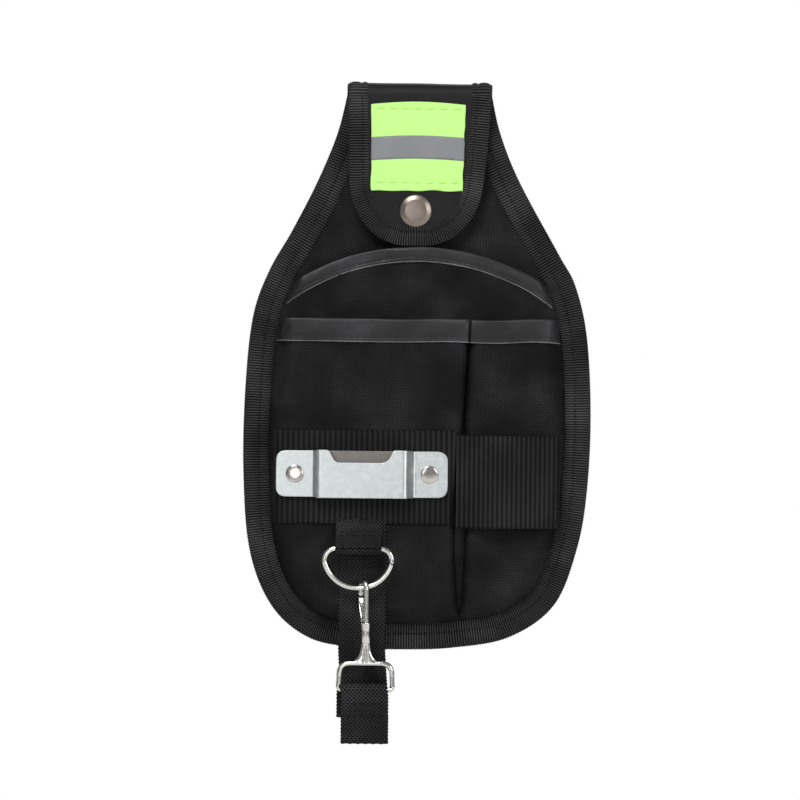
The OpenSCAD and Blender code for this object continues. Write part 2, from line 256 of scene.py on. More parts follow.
def edge_distance(points: Array, edge: Array) -> Array:
    """Measure how far points lie from a polyline.

    Args:
        points: points in the plane.
        edge: the polyline's points.

    Returns:
        One distance for each point.
    """
    a, b = edge[:-1], edge[1:]
    ab = b - a
    best = np.full(len(points), 1e9)
    for start, run in zip(a, ab):
        rel = points - start
        t = np.clip(rel @ run / max(run @ run, 1e-12), 0, 1)
        best = np.minimum(best, np.linalg.norm(rel - t[:, None] * run, axis=1))
    return best


# ---- meshes


def mesh_piece(name: str, points: Array, faces: Sequence[Sequence[int]], lay: Array) -> Piece:
    """Make a smooth mesh object.

    Args:
        name: the piece's name.
        points: vertices, in millimetres.
        faces: vertex numbers of each face.
        lay: two cloth coordinates for each vertex, in millimetres.

    Returns:
        The object, linked to the scene.
    """
    mesh = bpy.data.meshes.new(name)
    mesh.from_pydata((np.asarray(points) * MM).tolist(), [], [list(f) for f in faces])
    data = np.zeros((len(points), 3), np.float32)
    data[:, :2] = np.asarray(lay)[:, :2] * MM
    mesh.attributes.new(LAY, "FLOAT_VECTOR", "POINT").data.foreach_set("vector", data.ravel())
    mesh.polygons.foreach_set("use_smooth", [True] * len(mesh.polygons))
    mesh.validate()
    mesh.update()
    obj = bpy.data.objects.new(name, mesh)
    bpy.context.scene.collection.objects.link(obj)
    return obj


def grid_faces(rows: int, cols: int, wrap: bool = False, flip: bool = False) -> list[tuple[int, ...]]:
    """Join rows of points with quads.

    Args:
        rows: number of rows.
        cols: points in each row.
        wrap: join each row's last point to its first.
        flip: turn the faces over.

    Returns:
        The faces.
    """
    faces = []
    for i in range(rows - 1):
        for j in range(cols if wrap else cols - 1):
            k = (j + 1) % cols
            quad = (i * cols + j, i * cols + k, (i + 1) * cols + k, (i + 1) * cols + j)
            faces.append(quad[::-1] if flip else quad)
    return faces


@dataclass
class Track:
    """A path with two directions at each point, which a profile is swept along."""

    points: Array
    out: Array
    face: Array

    @property
    def along(self) -> Array:
        """Distance along the track."""
        return run_lengths(self.points)

    @classmethod
    def upright(cls, path_yz: Array, x: float | Array) -> "Track":
        """Make a track that bends only forwards and back, for straps.

        Args:
            path_yz: the strap's middle line, in Y and Z.
            x: where it lies across.

        Returns:
            The track.
        """
        pts = np.column_stack([np.broadcast_to(x, len(path_yz)), path_yz])
        t = tangents(path_yz)
        face = np.column_stack([np.zeros(len(t)), t[:, 1], -t[:, 0]])
        return cls(pts, each((1, 0, 0), len(t)), face)


def sweep(name: str, track: Track, profile: Array, relief: Surface | None = None,
          wrap: bool = True, across: Array | None = None, start: float = 0.0) -> Piece:
    """Sweep a profile along a track.

    Args:
        name: the piece's name.
        track: the path and its directions.
        profile: points (out, face), shape (count, 2), or one such row for each track point.
        relief: height above the profile, from distance along and across, in millimetres.
        wrap: close the profile and cap both ends.
        across: the cloth coordinate of each profile point; its first coordinate by default.
        start: distance along at the track's first point.

    Returns:
        The swept piece.
    """
    rows = len(track.points)
    prof = np.broadcast_to(profile, (rows, *np.shape(profile)[-2:])).astype(float)
    cols = prof.shape[1]
    if wrap:
        step = np.roll(prof, -1, axis=1) - np.roll(prof, 1, axis=1)
    else:
        step = np.gradient(prof, axis=1)
    normal = np.stack([step[..., 1], -step[..., 0]], axis=-1)
    normal /= np.maximum(np.linalg.norm(normal, axis=-1, keepdims=True), 1e-9)
    s = np.repeat(track.along[:, None] + start, cols, axis=1)
    a = prof[..., 0] if across is None else np.broadcast_to(across, (rows, cols))
    if relief is not None:
        prof = prof + normal * relief(s, a)[..., None]
    pts = (track.points[:, None] + track.out[:, None] * prof[..., :1]
           + track.face[:, None] * prof[..., 1:])
    faces = grid_faces(rows, cols, wrap)
    if wrap:
        faces += [tuple(range(cols))[::-1], tuple((rows - 1) * cols + j for j in range(cols))]
    lay = np.stack([s, a], axis=-1).reshape(-1, 2)
    return mesh_piece(name, pts.reshape(-1, 3), faces, lay)


def tube(name: str, path: Array, radius: float | Array, plane: Sequence[float],
         loop: bool = False, sides: int = 20) -> Piece:
    """Bend a round wire along a flat curve.

    Args:
        name: the piece's name.
        path: points of the wire's middle, in millimetres.
        radius: the wire's radius, or one for each point.
        plane: normal of the curve's plane.
        loop: join the wire's end to its start.
        sides: steps round the wire.

    Returns:
        The wire.
    """
    if loop:
        ends = np.vstack([path[-1:], path, path[:1]])
        run = (ends[2:] - ends[:-2]) / np.linalg.norm(ends[2:] - ends[:-2], axis=1)[:, None]
    else:
        run = tangents(path)
    up = each(plane, len(path))
    side = np.cross(run, up)
    a = np.arange(sides) * TAU / sides
    r = np.broadcast_to(radius, len(path))[:, None, None]
    pts = path[:, None] + r * (side[:, None] * np.cos(a)[:, None] + up[:, None] * np.sin(a)[:, None])
    faces = grid_faces(len(path), sides, wrap=True, flip=True)
    last = (len(path) - 1) * sides
    if loop:
        faces += [(last + (j + 1) % sides, last + j, j, (j + 1) % sides)[::-1] for j in range(sides)]
    else:
        faces += [tuple(range(sides)), tuple(last + j for j in range(sides))[::-1]]
    lay = np.column_stack([np.repeat(run_lengths(path), sides), np.tile(a * 1.5, len(path))])
    return mesh_piece(name, pts.reshape(-1, 3), faces, lay)


def webbing_profile(width: float, thick: float, step: float) -> Array:
    """Draw the section of a flat strap: two faces with rounded selvages.

    Args:
        width: the strap's width.
        thick: its thickness.
        step: distance between points on its faces.

    Returns:
        The closed outline's points.
    """
    r = thick / 2
    flat = np.arange(-width / 2 + r, width / 2 - r + 1e-6, step)
    flat = np.linspace(flat[0], width / 2 - r, len(flat))
    front = np.column_stack([flat, np.full(len(flat), -r)])
    back = np.column_stack([flat[::-1], np.full(len(flat), r)])
    right = arc((width / 2 - r, 0), r, -60, 60, 5)
    left = arc((r - width / 2, 0), r, 120, 240, 5)
    return np.vstack([front, right, back, left])


def lathe(name: str, profile: Sequence[Sequence[float]], centre: Sequence[float], axis: Sequence[float],
          sides: int = 64) -> Piece:
    """Turn a profile round an axis.

    Args:
        name: the piece's name.
        profile: points (radius, height) from one pole or rim to the other.
        centre: where height 0 lies, in millimetres.
        axis: direction of height.
        sides: steps round the axis.

    Returns:
        The turned piece, closed where the profile's ends reach the axis.
    """
    up = Vector(axis).normalized()
    turn = up.to_track_quat("Z", "Y").to_matrix()
    prof = np.array(profile, float)
    a = np.arange(sides) * TAU / sides
    ring = np.column_stack([np.cos(a), np.sin(a)])
    rings = [np.column_stack([ring * max(r, 1e-4), np.full(sides, h)]) for r, h in prof]
    pts = np.vstack(rings) @ np.array(turn).T + np.array(centre)
    faces = grid_faces(len(prof), sides, wrap=True)
    faces += [tuple(range(sides))[::-1], tuple((len(prof) - 1) * sides + k for k in range(sides))]
    lay = np.column_stack([np.tile(a, len(prof)) * 10, np.repeat(prof[:, 1], sides)])
    return mesh_piece(name, pts, faces, lay)


def rounded(profile: Sequence[Sequence[float]], radii: float | Sequence[float], steps: int = 4) -> Array:
    """Round the corners of an open outline.

    Args:
        profile: the outline's points.
        radii: how far from each corner its rounding starts, or one distance for all.
        steps: spans in each rounded corner.

    Returns:
        The rounded outline.
    """
    pts = np.array(profile, float)
    reach_all = np.broadcast_to(radii, len(pts) - 2)
    out = [pts[0]]
    for before, here, after, want in zip(pts[:-2], pts[1:-1], pts[2:], reach_all):
        back, on = before - here, after - here
        reach = min(want, np.linalg.norm(back) / 2.05, np.linalg.norm(on) / 2.05)
        a = here + back / np.linalg.norm(back) * reach
        b = here + on / np.linalg.norm(on) * reach
        for t in np.linspace(0, 1, steps + 1):
            out.append((1 - t) ** 2 * a + 2 * t * (1 - t) * here + t * t * b)
    return np.array(out + [pts[-1]])


def fill_outline(outline: Array, step: float) -> tuple[Array, list[tuple[int, ...]]]:
    """Fill a closed outline with even triangles.

    Args:
        outline: the outline's points, anticlockwise, not repeated at the end.
        step: the triangles' side, in millimetres.

    Returns:
        Points in the plane, and faces.
    """
    rim = np.vstack([outline, outline[:1]])
    loop = respace(rim, int(run_lengths(rim)[-1] / step) + 1)[:-1]
    low, high = loop.min(0), loop.max(0)
    rows = np.arange(low[1], high[1], step * 0.866)
    inner = []
    for i, z in enumerate(rows):
        xs = np.arange(low[0] + (i % 2) * step / 2, high[0], step)
        inner.append(np.column_stack([xs, np.full(len(xs), z)]))
    inner = np.vstack(inner)
    a, b = loop, np.roll(loop, -1, axis=0)
    inside = np.zeros(len(inner), bool)
    for (x0, z0), (x1, z1) in zip(a, b):
        crosses = (z0 > inner[:, 1]) != (z1 > inner[:, 1])
        with np.errstate(divide="ignore", invalid="ignore"):
            at = (x1 - x0) * (inner[:, 1] - z0) / (z1 - z0) + x0
        inside ^= crosses & (inner[:, 0] < at)
    inner = inner[inside]
    inner = inner[edge_distance(inner, np.vstack([loop, loop[:1]])) > step * 0.55]
    every = np.vstack([loop, inner])
    ring = [(i, (i + 1) % len(loop)) for i in range(len(loop))]
    verts, _, faces, *_ = delaunay_2d_cdt([Vector(p) for p in every], ring, [], 1, 1e-5)
    return np.array([tuple(v) for v in verts]), [tuple(f) for f in faces]


def sheet_piece(name: str, outline: Array, depth: Surface, step: float, facing: float = -1) -> Piece:
    """Make a cloth face over an outline in X and Z.

    Args:
        name: the piece's name.
        outline: closed outline, anticlockwise seen from the front.
        depth: Y from X and Z, in millimetres.
        step: the triangles' side.
        facing: -1 to face the front, 1 to face the back.

    Returns:
        An open skin, one face thick.
    """
    flat, faces = fill_outline(outline, step)
    pts = np.column_stack([flat[:, 0], depth(flat[:, 0], flat[:, 1]), flat[:, 1]])
    if facing > 0:
        faces = [f[::-1] for f in faces]
    return mesh_piece(name, pts, faces, flat)


def apply_modifiers(obj: Piece) -> None:
    """Turn an object's modifiers into plain mesh."""
    view = bpy.context.evaluated_depsgraph_get()
    view.update()
    mesh = bpy.data.meshes.new_from_object(obj.evaluated_get(view), preserve_all_data_layers=True,
                                           depsgraph=view)
    old = obj.data
    obj.modifiers.clear()
    obj.data = mesh
    bpy.data.meshes.remove(old)


def thicken(obj: Piece, thick: float) -> None:
    """Give a skin thickness, away from its face.

    Args:
        obj: the skin.
        thick: the thickness, in millimetres.
    """
    solid = obj.modifiers.new("thickness", "SOLIDIFY")
    solid.thickness = thick * MM
    solid.offset = -1
    solid.use_even_offset = True
    apply_modifiers(obj)


def fuse(obj: Piece, voxel: float, passes: int) -> None:
    """Melt overlapping solids of one piece into a single smooth casting.

    Args:
        obj: the piece.
        voxel: the new mesh's grain, in millimetres.
        passes: how often it is smoothed.
    """
    remesh = obj.modifiers.new("fuse", "REMESH")
    remesh.mode = "VOXEL"
    remesh.voxel_size = voxel * MM
    remesh.use_smooth_shade = True
    ease = obj.modifiers.new("ease", "SMOOTH")
    ease.factor = 0.5
    ease.iterations = passes
    apply_modifiers(obj)


def join(name: str, parts: Sequence[Piece]) -> Piece:
    """Join several meshes into one piece.

    Args:
        name: the piece's name.
        parts: the meshes.

    Returns:
        The joined piece.
    """
    view = bpy.context.view_layer
    for obj in view.objects:
        obj.select_set(obj in parts)
    view.objects.active = parts[0]
    bpy.ops.object.join()
    parts[0].name = parts[0].data.name = name
    return parts[0]


def stitches(name: str, path: Array, normal: Array, length: float = 2.6, gap: float = 0.7,
             radius: float = 0.28) -> Piece:
    """Sew a row of thread along a path on a surface.

    Args:
        name: the piece's name.
        path: points on the surface.
        normal: the surface's direction at each point.
        length: length of one stitch.
        gap: distance between stitches.
        radius: the thread's radius.

    Returns:
        The row of stitches as one piece.
    """
    along = run_lengths(path)
    count = max(1, int((along[-1] + gap) / (length + gap)))
    rings, sides = 5, 6
    ts = np.linspace(0, 1, rings)
    bulge = np.sin(ts * math.pi)
    pts, faces, lay = [], [], []
    for k in range(count):
        s = (k + 0.5 * gap / (length + gap)) * along[-1] / count + ts * length
        centre = np.stack([np.interp(s, along, path[:, c]) for c in range(3)], axis=1)
        up = np.stack([np.interp(s, along, normal[:, c]) for c in range(3)], axis=1)
        run = centre[-1] - centre[0]
        run /= np.linalg.norm(run)
        side = np.cross(run, up)
        centre = centre + up * (bulge * radius * 1.1 - radius * 0.7)[:, None]
        for a in np.arange(sides) * TAU / sides:
            width = radius * (0.35 + 0.65 * bulge ** 0.5)
            pts.append(centre + (side * math.cos(a) + up * math.sin(a)) * width[:, None])
            lay.append(np.column_stack([s, np.full(rings, a * radius)]))
        base = k * rings * sides
        for i in range(sides):
            j = (i + 1) % sides
            for r in range(rings - 1):
                faces.append((base + i * rings + r, base + j * rings + r,
                              base + j * rings + r + 1, base + i * rings + r + 1))
        faces.append(tuple(base + i * rings for i in range(sides))[::-1])
        faces.append(tuple(base + i * rings + rings - 1 for i in range(sides)))
    return mesh_piece(name, np.vstack(pts), faces, np.vstack(lay))


# ---- finishes


class Weave(Enum):
    """How a cloth's surface is made."""

    PLAIN = "plain"
    RIBBED = "ribbed"
    GRAINED = "grained"
    BEADED = "beaded"


class Coords(Enum):
    """Which coordinates a finish follows."""

    LAY = "lay"
    OBJECT = "object"


@dataclass
class NodeSheet:
    """Short ways to add and join the nodes of one tree."""

    tree: bpy.types.NodeTree

    def add(self, kind: str, **values: object) -> bpy.types.Node:
        """Add a node.

        Args:
            kind: the node's type.
            values: its properties.

        Returns:
            The node.
        """
        node = self.tree.nodes.new(kind)
        for key, value in values.items():
            setattr(node, key, value)
        return node

    def link(self, source: Socket, target: Socket) -> None:
        """Join two sockets."""
        self.tree.links.new(source, target)

    def math(self, operation: str, first: object, second: object = None) -> Socket:
        """Add a Math node.

        Args:
            operation: the node's operation.
            first: a socket or number.
            second: a socket or number, where the operation takes two.

        Returns:
            The node's output.
        """
        node = self.add("ShaderNodeMath", operation=operation)
        for socket, value in zip(node.inputs, (first, second)):
            if isinstance(value, Socket):
                self.link(value, socket)
            elif value is not None:
                socket.default_value = value
        return node.outputs[0]


def preset(node: bpy.types.Node, values: dict[str, object]) -> None:
    """Set the values of several of a node's inputs."""
    for key, value in values.items():
        node.inputs[key].default_value = value


def new_group(name: str, inputs: dict[str, object], outputs: Sequence[str]) -> tuple[
        bpy.types.NodeTree, NodeSheet, bpy.types.Node, bpy.types.Node]:
    """Start a shader node group.

    Args:
        name: the group's name.
        inputs: names and default values; None stands for a vector.
        outputs: names of the numbers that the group puts out.

    Returns:
        The group, its sheet, its input node and its output node.
    """
    tree = bpy.data.node_groups.new(name, "ShaderNodeTree")
    for key, value in inputs.items():
        kind = "NodeSocketVector" if value is None else "NodeSocketFloat"
        socket = tree.interface.new_socket(key, in_out="INPUT", socket_type=kind)
        if value is not None:
            socket.default_value = value
    for key in outputs:
        tree.interface.new_socket(key, in_out="OUTPUT", socket_type="NodeSocketFloat")
    sheet = NodeSheet(tree)
    return tree, sheet, sheet.add("NodeGroupInput"), sheet.add("NodeGroupOutput")


def build_plain_weave() -> bpy.types.NodeTree:
    """Build the group for threads that pass over and under each other."""
    tree, n, ins, outs = new_group("plain weave", {"Vector": None, "Pitch": 0.0007}, ["Height", "Thread"])
    part = n.add("ShaderNodeSeparateXYZ")
    jitter = n.add("ShaderNodeTexNoise")
    preset(jitter, {"Scale": 260, "Detail": 1})
    n.link(ins.outputs["Vector"], jitter.inputs["Vector"])
    n.link(ins.outputs["Vector"], part.inputs[0])
    shift = n.math("MULTIPLY", n.math("SUBTRACT", jitter.outputs["Fac"], 0.5), 1.6)
    turns = []
    for axis in ("X", "Y"):
        scaled = n.math("DIVIDE", part.outputs[axis], ins.outputs["Pitch"])
        turns.append(n.math("ADD", n.math("MULTIPLY", scaled, math.pi), shift))
    sines = [n.math("SINE", t) for t in turns]
    over = n.math("ADD", n.math("MULTIPLY", n.math("MULTIPLY", sines[0], sines[1]), 0.5), 0.5)
    ridges = [n.math("ABSOLUTE", n.math("COSINE", t)) for t in turns]
    one = n.math("MULTIPLY", ridges[0], over)
    two = n.math("MULTIPLY", ridges[1], n.math("SUBTRACT", 1.0, over))
    height = n.math("ADD", one, two)
    n.link(height, outs.inputs["Height"])
    n.link(over, outs.inputs["Thread"])
    return tree


def build_ribs() -> bpy.types.NodeTree:
    """Build the group for fine ribs that lie across a tape, crossed by finer threads."""
    tree, n, ins, outs = new_group(
        "tape ribs", {"Vector": None, "Pitch": 0.0014, "Cross Pitch": 0.0006}, ["Height", "Thread"])
    part = n.add("ShaderNodeSeparateXYZ")
    n.link(ins.outputs["Vector"], part.inputs[0])
    along = n.math("MULTIPLY", n.math("DIVIDE", part.outputs["X"], ins.outputs["Pitch"]), TAU)
    cross = n.math("MULTIPLY", n.math("DIVIDE", part.outputs["Y"], ins.outputs["Cross Pitch"]), TAU)
    lean = n.math("ADD", cross, n.math("MULTIPLY", along, 0.5))
    rib = n.math("ADD", n.math("MULTIPLY", n.math("SINE", along), 0.5), 0.5)
    thread = n.math("ADD", n.math("MULTIPLY", n.math("SINE", lean), 0.5), 0.5)
    dots = n.math("ADD", n.math("MULTIPLY", thread, 0.55), 0.45)
    n.link(n.math("MULTIPLY", rib, dots), outs.inputs["Height"])
    n.link(thread, outs.inputs["Thread"])
    return tree


def build_grain() -> bpy.types.NodeTree:
    """Build the group for leather grain, glass beads and cast surfaces."""
    tree, n, ins, outs = new_group("grain", {"Vector": None, "Size": 0.001, "Creases": 0.5},
                                   ["Height", "Thread"])
    scale = n.math("DIVIDE", 1.0, ins.outputs["Size"])
    cells = n.add("ShaderNodeTexVoronoi")
    fine = n.add("ShaderNodeTexNoise")
    fine.inputs["Detail"].default_value = 3
    for node in (cells, fine):
        n.link(ins.outputs["Vector"], node.inputs["Vector"])
    n.link(scale, cells.inputs["Scale"])
    n.link(n.math("MULTIPLY", scale, 0.25), fine.inputs["Scale"])
    pebble = n.math("SUBTRACT", 1.0, cells.outputs["Distance"])
    crease = n.math("MULTIPLY", fine.outputs["Fac"], ins.outputs["Creases"])
    n.link(n.math("ADD", pebble, crease), outs.inputs["Height"])
    n.link(cells.outputs["Distance"], outs.inputs["Thread"])
    return tree


def build_wear() -> bpy.types.NodeTree:
    """Build the group for dust, lint and slow changes of tone."""
    tree, n, ins, outs = new_group("dust and wear", {"Vector": None, "Patch": 0.03, "Lint": 0.0},
                                   ["Tone", "Lint"])
    slow = n.add("ShaderNodeTexNoise")
    slow.inputs["Detail"].default_value = 4
    specks = n.add("ShaderNodeTexVoronoi")
    specks.inputs["Scale"].default_value = 210
    for node in (slow, specks):
        n.link(ins.outputs["Vector"], node.inputs["Vector"])
    n.link(n.math("DIVIDE", 1.0, ins.outputs["Patch"]), slow.inputs["Scale"])
    spread = n.add("ShaderNodeMapRange")
    preset(spread, {"From Min": 0.3, "From Max": 0.7})
    n.link(slow.outputs["Fac"], spread.inputs["Value"])
    n.link(spread.outputs["Result"], outs.inputs["Tone"])
    near = n.math("LESS_THAN", specks.outputs["Distance"], 0.045)
    n.link(n.math("MULTIPLY", near, ins.outputs["Lint"]), outs.inputs["Lint"])
    return tree


@dataclass
class Workshop:
    """The shared node groups, built once."""

    weave: bpy.types.NodeTree = field(default_factory=build_plain_weave)
    ribs: bpy.types.NodeTree = field(default_factory=build_ribs)
    grain: bpy.types.NodeTree = field(default_factory=build_grain)
    wear: bpy.types.NodeTree = field(default_factory=build_wear)


SHOP = Workshop()


def surface_vector(n: NodeSheet, coords: Coords) -> Socket:
    """Return the coordinates that a finish follows, in metres.

    Args:
        n: the material's sheet.
        coords: cloth coordinates, or the object's own X and Z.

    Returns:
        A vector socket.
    """
    if coords is Coords.LAY:
        return n.add("ShaderNodeAttribute", attribute_name=LAY).outputs["Vector"]
    place_node = n.add("ShaderNodeTexCoord")
    part = n.add("ShaderNodeSeparateXYZ")
    turned = n.add("ShaderNodeCombineXYZ")
    n.link(place_node.outputs["Object"], part.inputs[0])
    for source, target in (("X", "X"), ("Z", "Y"), ("Y", "Z")):
        n.link(part.outputs[source], turned.inputs[target])
    return turned.outputs[0]


def start_material(name: str) -> tuple[bpy.types.Material, NodeSheet, bpy.types.Node]:
    """Start a material with one Principled shader.

    Args:
        name: the material's name.

    Returns:
        The material, its sheet and its shader.
    """
    made = bpy.data.materials.new(name)
    made.use_nodes = True
    made.node_tree.nodes.clear()
    n = NodeSheet(made.node_tree)
    shader = n.add("ShaderNodeBsdfPrincipled")
    end = n.add("ShaderNodeOutputMaterial")
    n.link(shader.outputs["BSDF"], end.inputs["Surface"])
    return made, n, shader


def mix_colour(n: NodeSheet, mask: Socket, low: Sequence[float] | Socket, high: Sequence[float]) -> Socket:
    """Mix two colours by a mask.

    Args:
        n: the material's sheet.
        mask: 0 gives low and 1 gives high.
        low: a colour or a colour socket.
        high: a colour.

    Returns:
        The mixed colour.
    """
    mix = n.add("ShaderNodeMix", data_type="RGBA")
    n.link(mask, mix.inputs["Factor"])
    if isinstance(low, Socket):
        n.link(low, mix.inputs["A"])
    else:
        mix.inputs["A"].default_value = (*low, 1)
    mix.inputs["B"].default_value = (*high, 1)
    return mix.outputs["Result"]


def spread_number(n: NodeSheet, mask: Socket, low: float, high: float) -> Socket:
    """Map a mask onto a range of numbers.

    Args:
        n: the material's sheet.
        mask: 0 gives low and 1 gives high.
        low: the lowest number.
        high: the highest number.

    Returns:
        The mapped number.
    """
    node = n.add("ShaderNodeMapRange")
    preset(node, {"To Min": low, "To Max": high})
    n.link(mask, node.inputs["Value"])
    return node.outputs["Result"]


@dataclass(frozen=True)
class Cloth:
    """A woven, ribbed, grained or beaded finish."""

    slot: Slot
    weave: Weave
    shade: float
    light: float
    tint: tuple[float, float, float] = (1, 0.99, 1)
    pitch: float = 0.7
    cross: float = 0.6
    bump: float = 0.5
    depth: float = 0.1
    rough: tuple[float, float] = (0.75, 0.95)
    sheen: float = 0.1
    lint: float = 0.0
    contrast: float = 1.5
    gloss: float = 0.12
    coords: Coords = Coords.LAY

    def make(self) -> bpy.types.Material:
        """Build the material."""
        made, n, shader = start_material(self.slot.value)
        where = surface_vector(n, self.coords)
        tree = {Weave.PLAIN: SHOP.weave, Weave.RIBBED: SHOP.ribs}.get(self.weave, SHOP.grain)
        pattern = n.add("ShaderNodeGroup", node_tree=tree)
        n.link(where, pattern.inputs["Vector"])
        key = "Size" if tree is SHOP.grain else "Pitch"
        pattern.inputs[key].default_value = self.pitch * MM
        if tree is SHOP.ribs:
            pattern.inputs["Cross Pitch"].default_value = self.cross * MM
        wear = n.add("ShaderNodeGroup", node_tree=SHOP.wear)
        wear.inputs["Lint"].default_value = self.lint
        n.link(where, wear.inputs["Vector"])
        dark = [self.shade * t for t in self.tint]
        pale = [self.light * t for t in self.tint]
        # Colour mask, partly painted light: where the weave, ribs or grain stand high the colour is paler, a
        # painted highlight on the crests and painted shade in the hollows; in the plain weave the threads
        # that lie over are paler, a painted sheen; the slow tone is the cloth's own uneven colour.
        parts = {Weave.PLAIN: (0.4, 0.45, 0.15), Weave.RIBBED: (0.65, 0.1, 0.3)}.get(
            self.weave, (0.3, 0.1, 0.6))
        sources = (pattern.outputs["Height"], pattern.outputs["Thread"], wear.outputs["Tone"])
        painted_light_and_tone = [n.math("MULTIPLY", source, part) for source, part in zip(sources, parts)]
        mask = n.math("POWER", n.math("ADD", n.math("ADD", painted_light_and_tone[0], painted_light_and_tone[1]), painted_light_and_tone[2]),
                      self.contrast)
        base = mix_colour(n, mask, dark, pale)
        base = mix_colour(n, wear.outputs["Lint"], base, [min(1, 2 * c + 0.06) for c in pale])
        n.link(base, shader.inputs["Base Color"])
        n.link(spread_number(n, wear.outputs["Tone"], *self.rough), shader.inputs["Roughness"])
        preset(shader, {"Sheen Weight": self.sheen, "Sheen Roughness": 0.5,
                        "Specular IOR Level": self.gloss})
        bump = n.add("ShaderNodeBump")
        preset(bump, {"Strength": self.bump, "Distance": self.depth * MM})
        n.link(pattern.outputs["Height"], bump.inputs["Height"])
        n.link(bump.outputs["Normal"], shader.inputs["Normal"])
        return made


@dataclass(frozen=True)
class Metal:
    """A plated metal finish, with soft mottling and fine brushing."""

    slot: Slot
    colour: tuple[float, float, float]
    dull: tuple[float, float, float]
    rough: tuple[float, float] = (0.2, 0.35)
    stretch: tuple[float, float, float] = (1, 1, 1)
    size: float = 0.6
    bump: float = 0.05

    def make(self) -> bpy.types.Material:
        """Build the material."""
        made, n, shader = start_material(self.slot.value)
        where = surface_vector(n, Coords.OBJECT)
        scaled = n.add("ShaderNodeMapping")
        scaled.inputs["Scale"].default_value = self.stretch
        n.link(where, scaled.inputs["Vector"])
        grain = n.add("ShaderNodeGroup", node_tree=SHOP.grain)
        grain.inputs["Size"].default_value = self.size * MM
        n.link(scaled.outputs["Vector"], grain.inputs["Vector"])
        wear = n.add("ShaderNodeGroup", node_tree=SHOP.wear)
        wear.inputs["Patch"].default_value = 0.004
        n.link(where, wear.inputs["Vector"])
        mask = n.math("MULTIPLY", n.math("ADD", wear.outputs["Tone"], grain.outputs["Thread"]), 0.5)
        n.link(mix_colour(n, mask, self.dull, self.colour), shader.inputs["Base Color"])
        n.link(spread_number(n, mask, *self.rough), shader.inputs["Roughness"])
        shader.inputs["Metallic"].default_value = 1.0
        bump = n.add("ShaderNodeBump")
        preset(bump, {"Strength": self.bump, "Distance": 0.05 * MM})
        n.link(grain.outputs["Height"], bump.inputs["Height"])
        n.link(bump.outputs["Normal"], shader.inputs["Normal"])
        return made


OXFORD = Cloth(Slot.OXFORD, Weave.PLAIN, 0.0, 0.27, tint=(1, 1, 1.06), pitch=0.85, bump=1.0, depth=0.25,
               sheen=0.0, contrast=6.5)
LINING = Cloth(Slot.LINING, Weave.PLAIN, 0.004, 0.03, pitch=0.6, bump=0.6, depth=0.1, sheen=0.02)
CORE = Cloth(Slot.FOAM, Weave.GRAINED, 0.05, 0.09, pitch=0.8, bump=0.4, coords=Coords.OBJECT)
TAPE = Cloth(Slot.BINDING, Weave.RIBBED, 0.0, 0.12, tint=(1.02, 1, 0.98), pitch=1.4, cross=1.0,
             bump=0.9, depth=0.2, lint=0.25, sheen=0.0, contrast=2.2)
COATED = Cloth(Slot.COATED, Weave.GRAINED, 0.007, 0.012, pitch=0.3, bump=0.25, depth=0.05,
               rough=(0.5, 0.62), sheen=0.0, lint=0.2, tint=(1.05, 1, 0.98), gloss=0.2)
SKIN = Cloth(Slot.TRIM, Weave.GRAINED, 0.005, 0.056, pitch=0.5, bump=0.4, depth=0.08, rough=(0.36, 0.5),
             sheen=0.0, tint=(1, 1, 1.08), contrast=2.5, gloss=0.33)
WIDE = Cloth(Slot.WIDE_WEBBING, Weave.RIBBED, 0.003, 0.036, pitch=2.8, cross=1.1, bump=0.7, depth=0.2,
             lint=0.15, sheen=0.0, contrast=1.7)
LOOP = Cloth(Slot.WIDE_WEBBING, Weave.RIBBED, 0.003, 0.044, pitch=2.5, cross=1.1, bump=0.7, depth=0.2,
             lint=0.15, sheen=0.0, contrast=1.7)
STRAP = Cloth(Slot.STRAP_WEBBING, Weave.PLAIN, 0.0, 0.21, pitch=1.05, bump=1.0, depth=0.3, lint=0.15,
              sheen=0.0, contrast=5.2)
NEON = Cloth(Slot.FLUORESCENT, Weave.PLAIN, 0.9, 1.0, tint=(0.57, 0.99, 0.28), pitch=0.5, bump=0.15,
             depth=0.04, rough=(0.7, 0.85), sheen=0.0)
# Patch stitches: a darker copy of the neon cloth, painted shade of the puckered stitch rows.
SHADED_NEON_THREAD = Cloth(Slot.FLUORESCENT, Weave.RIBBED, 0.6, 0.85, tint=(0.5, 0.95, 0.25), pitch=0.5,
                    cross=0.3, bump=0.3, depth=0.04, sheen=0.0)
BEADS = Cloth(Slot.REFLECTIVE, Weave.BEADED, 0.2, 0.27, tint=(0.98, 1, 1.05), pitch=0.35, bump=0.2,
              depth=0.03, rough=(0.35, 0.5), sheen=0.0, gloss=0.3)
STEEL = Metal(Slot.STEEL, (0.72, 0.755, 0.745), (0.48, 0.51, 0.505), rough=(0.28, 0.44),
              stretch=(1, 0.2, 1), size=0.35, bump=0.18)
RIVET = Metal(Slot.RIVET, (0.74, 0.7, 0.66), (0.52, 0.48, 0.45), rough=(0.16, 0.24), bump=0.02)
NICKEL = Metal(Slot.NICKEL, (0.8, 0.77, 0.73), (0.74, 0.71, 0.67), rough=(0.16, 0.19), bump=0.0)
THREAD = Cloth(Slot.BINDING, Weave.RIBBED, 0.006, 0.02, pitch=0.5, cross=0.3, bump=0.3, depth=0.05,
               sheen=0.0)
SKIN_THREAD = Cloth(Slot.TRIM, Weave.RIBBED, 0.02, 0.035, pitch=0.5, cross=0.3, bump=0.2, depth=0.05,
                    sheen=0.0)
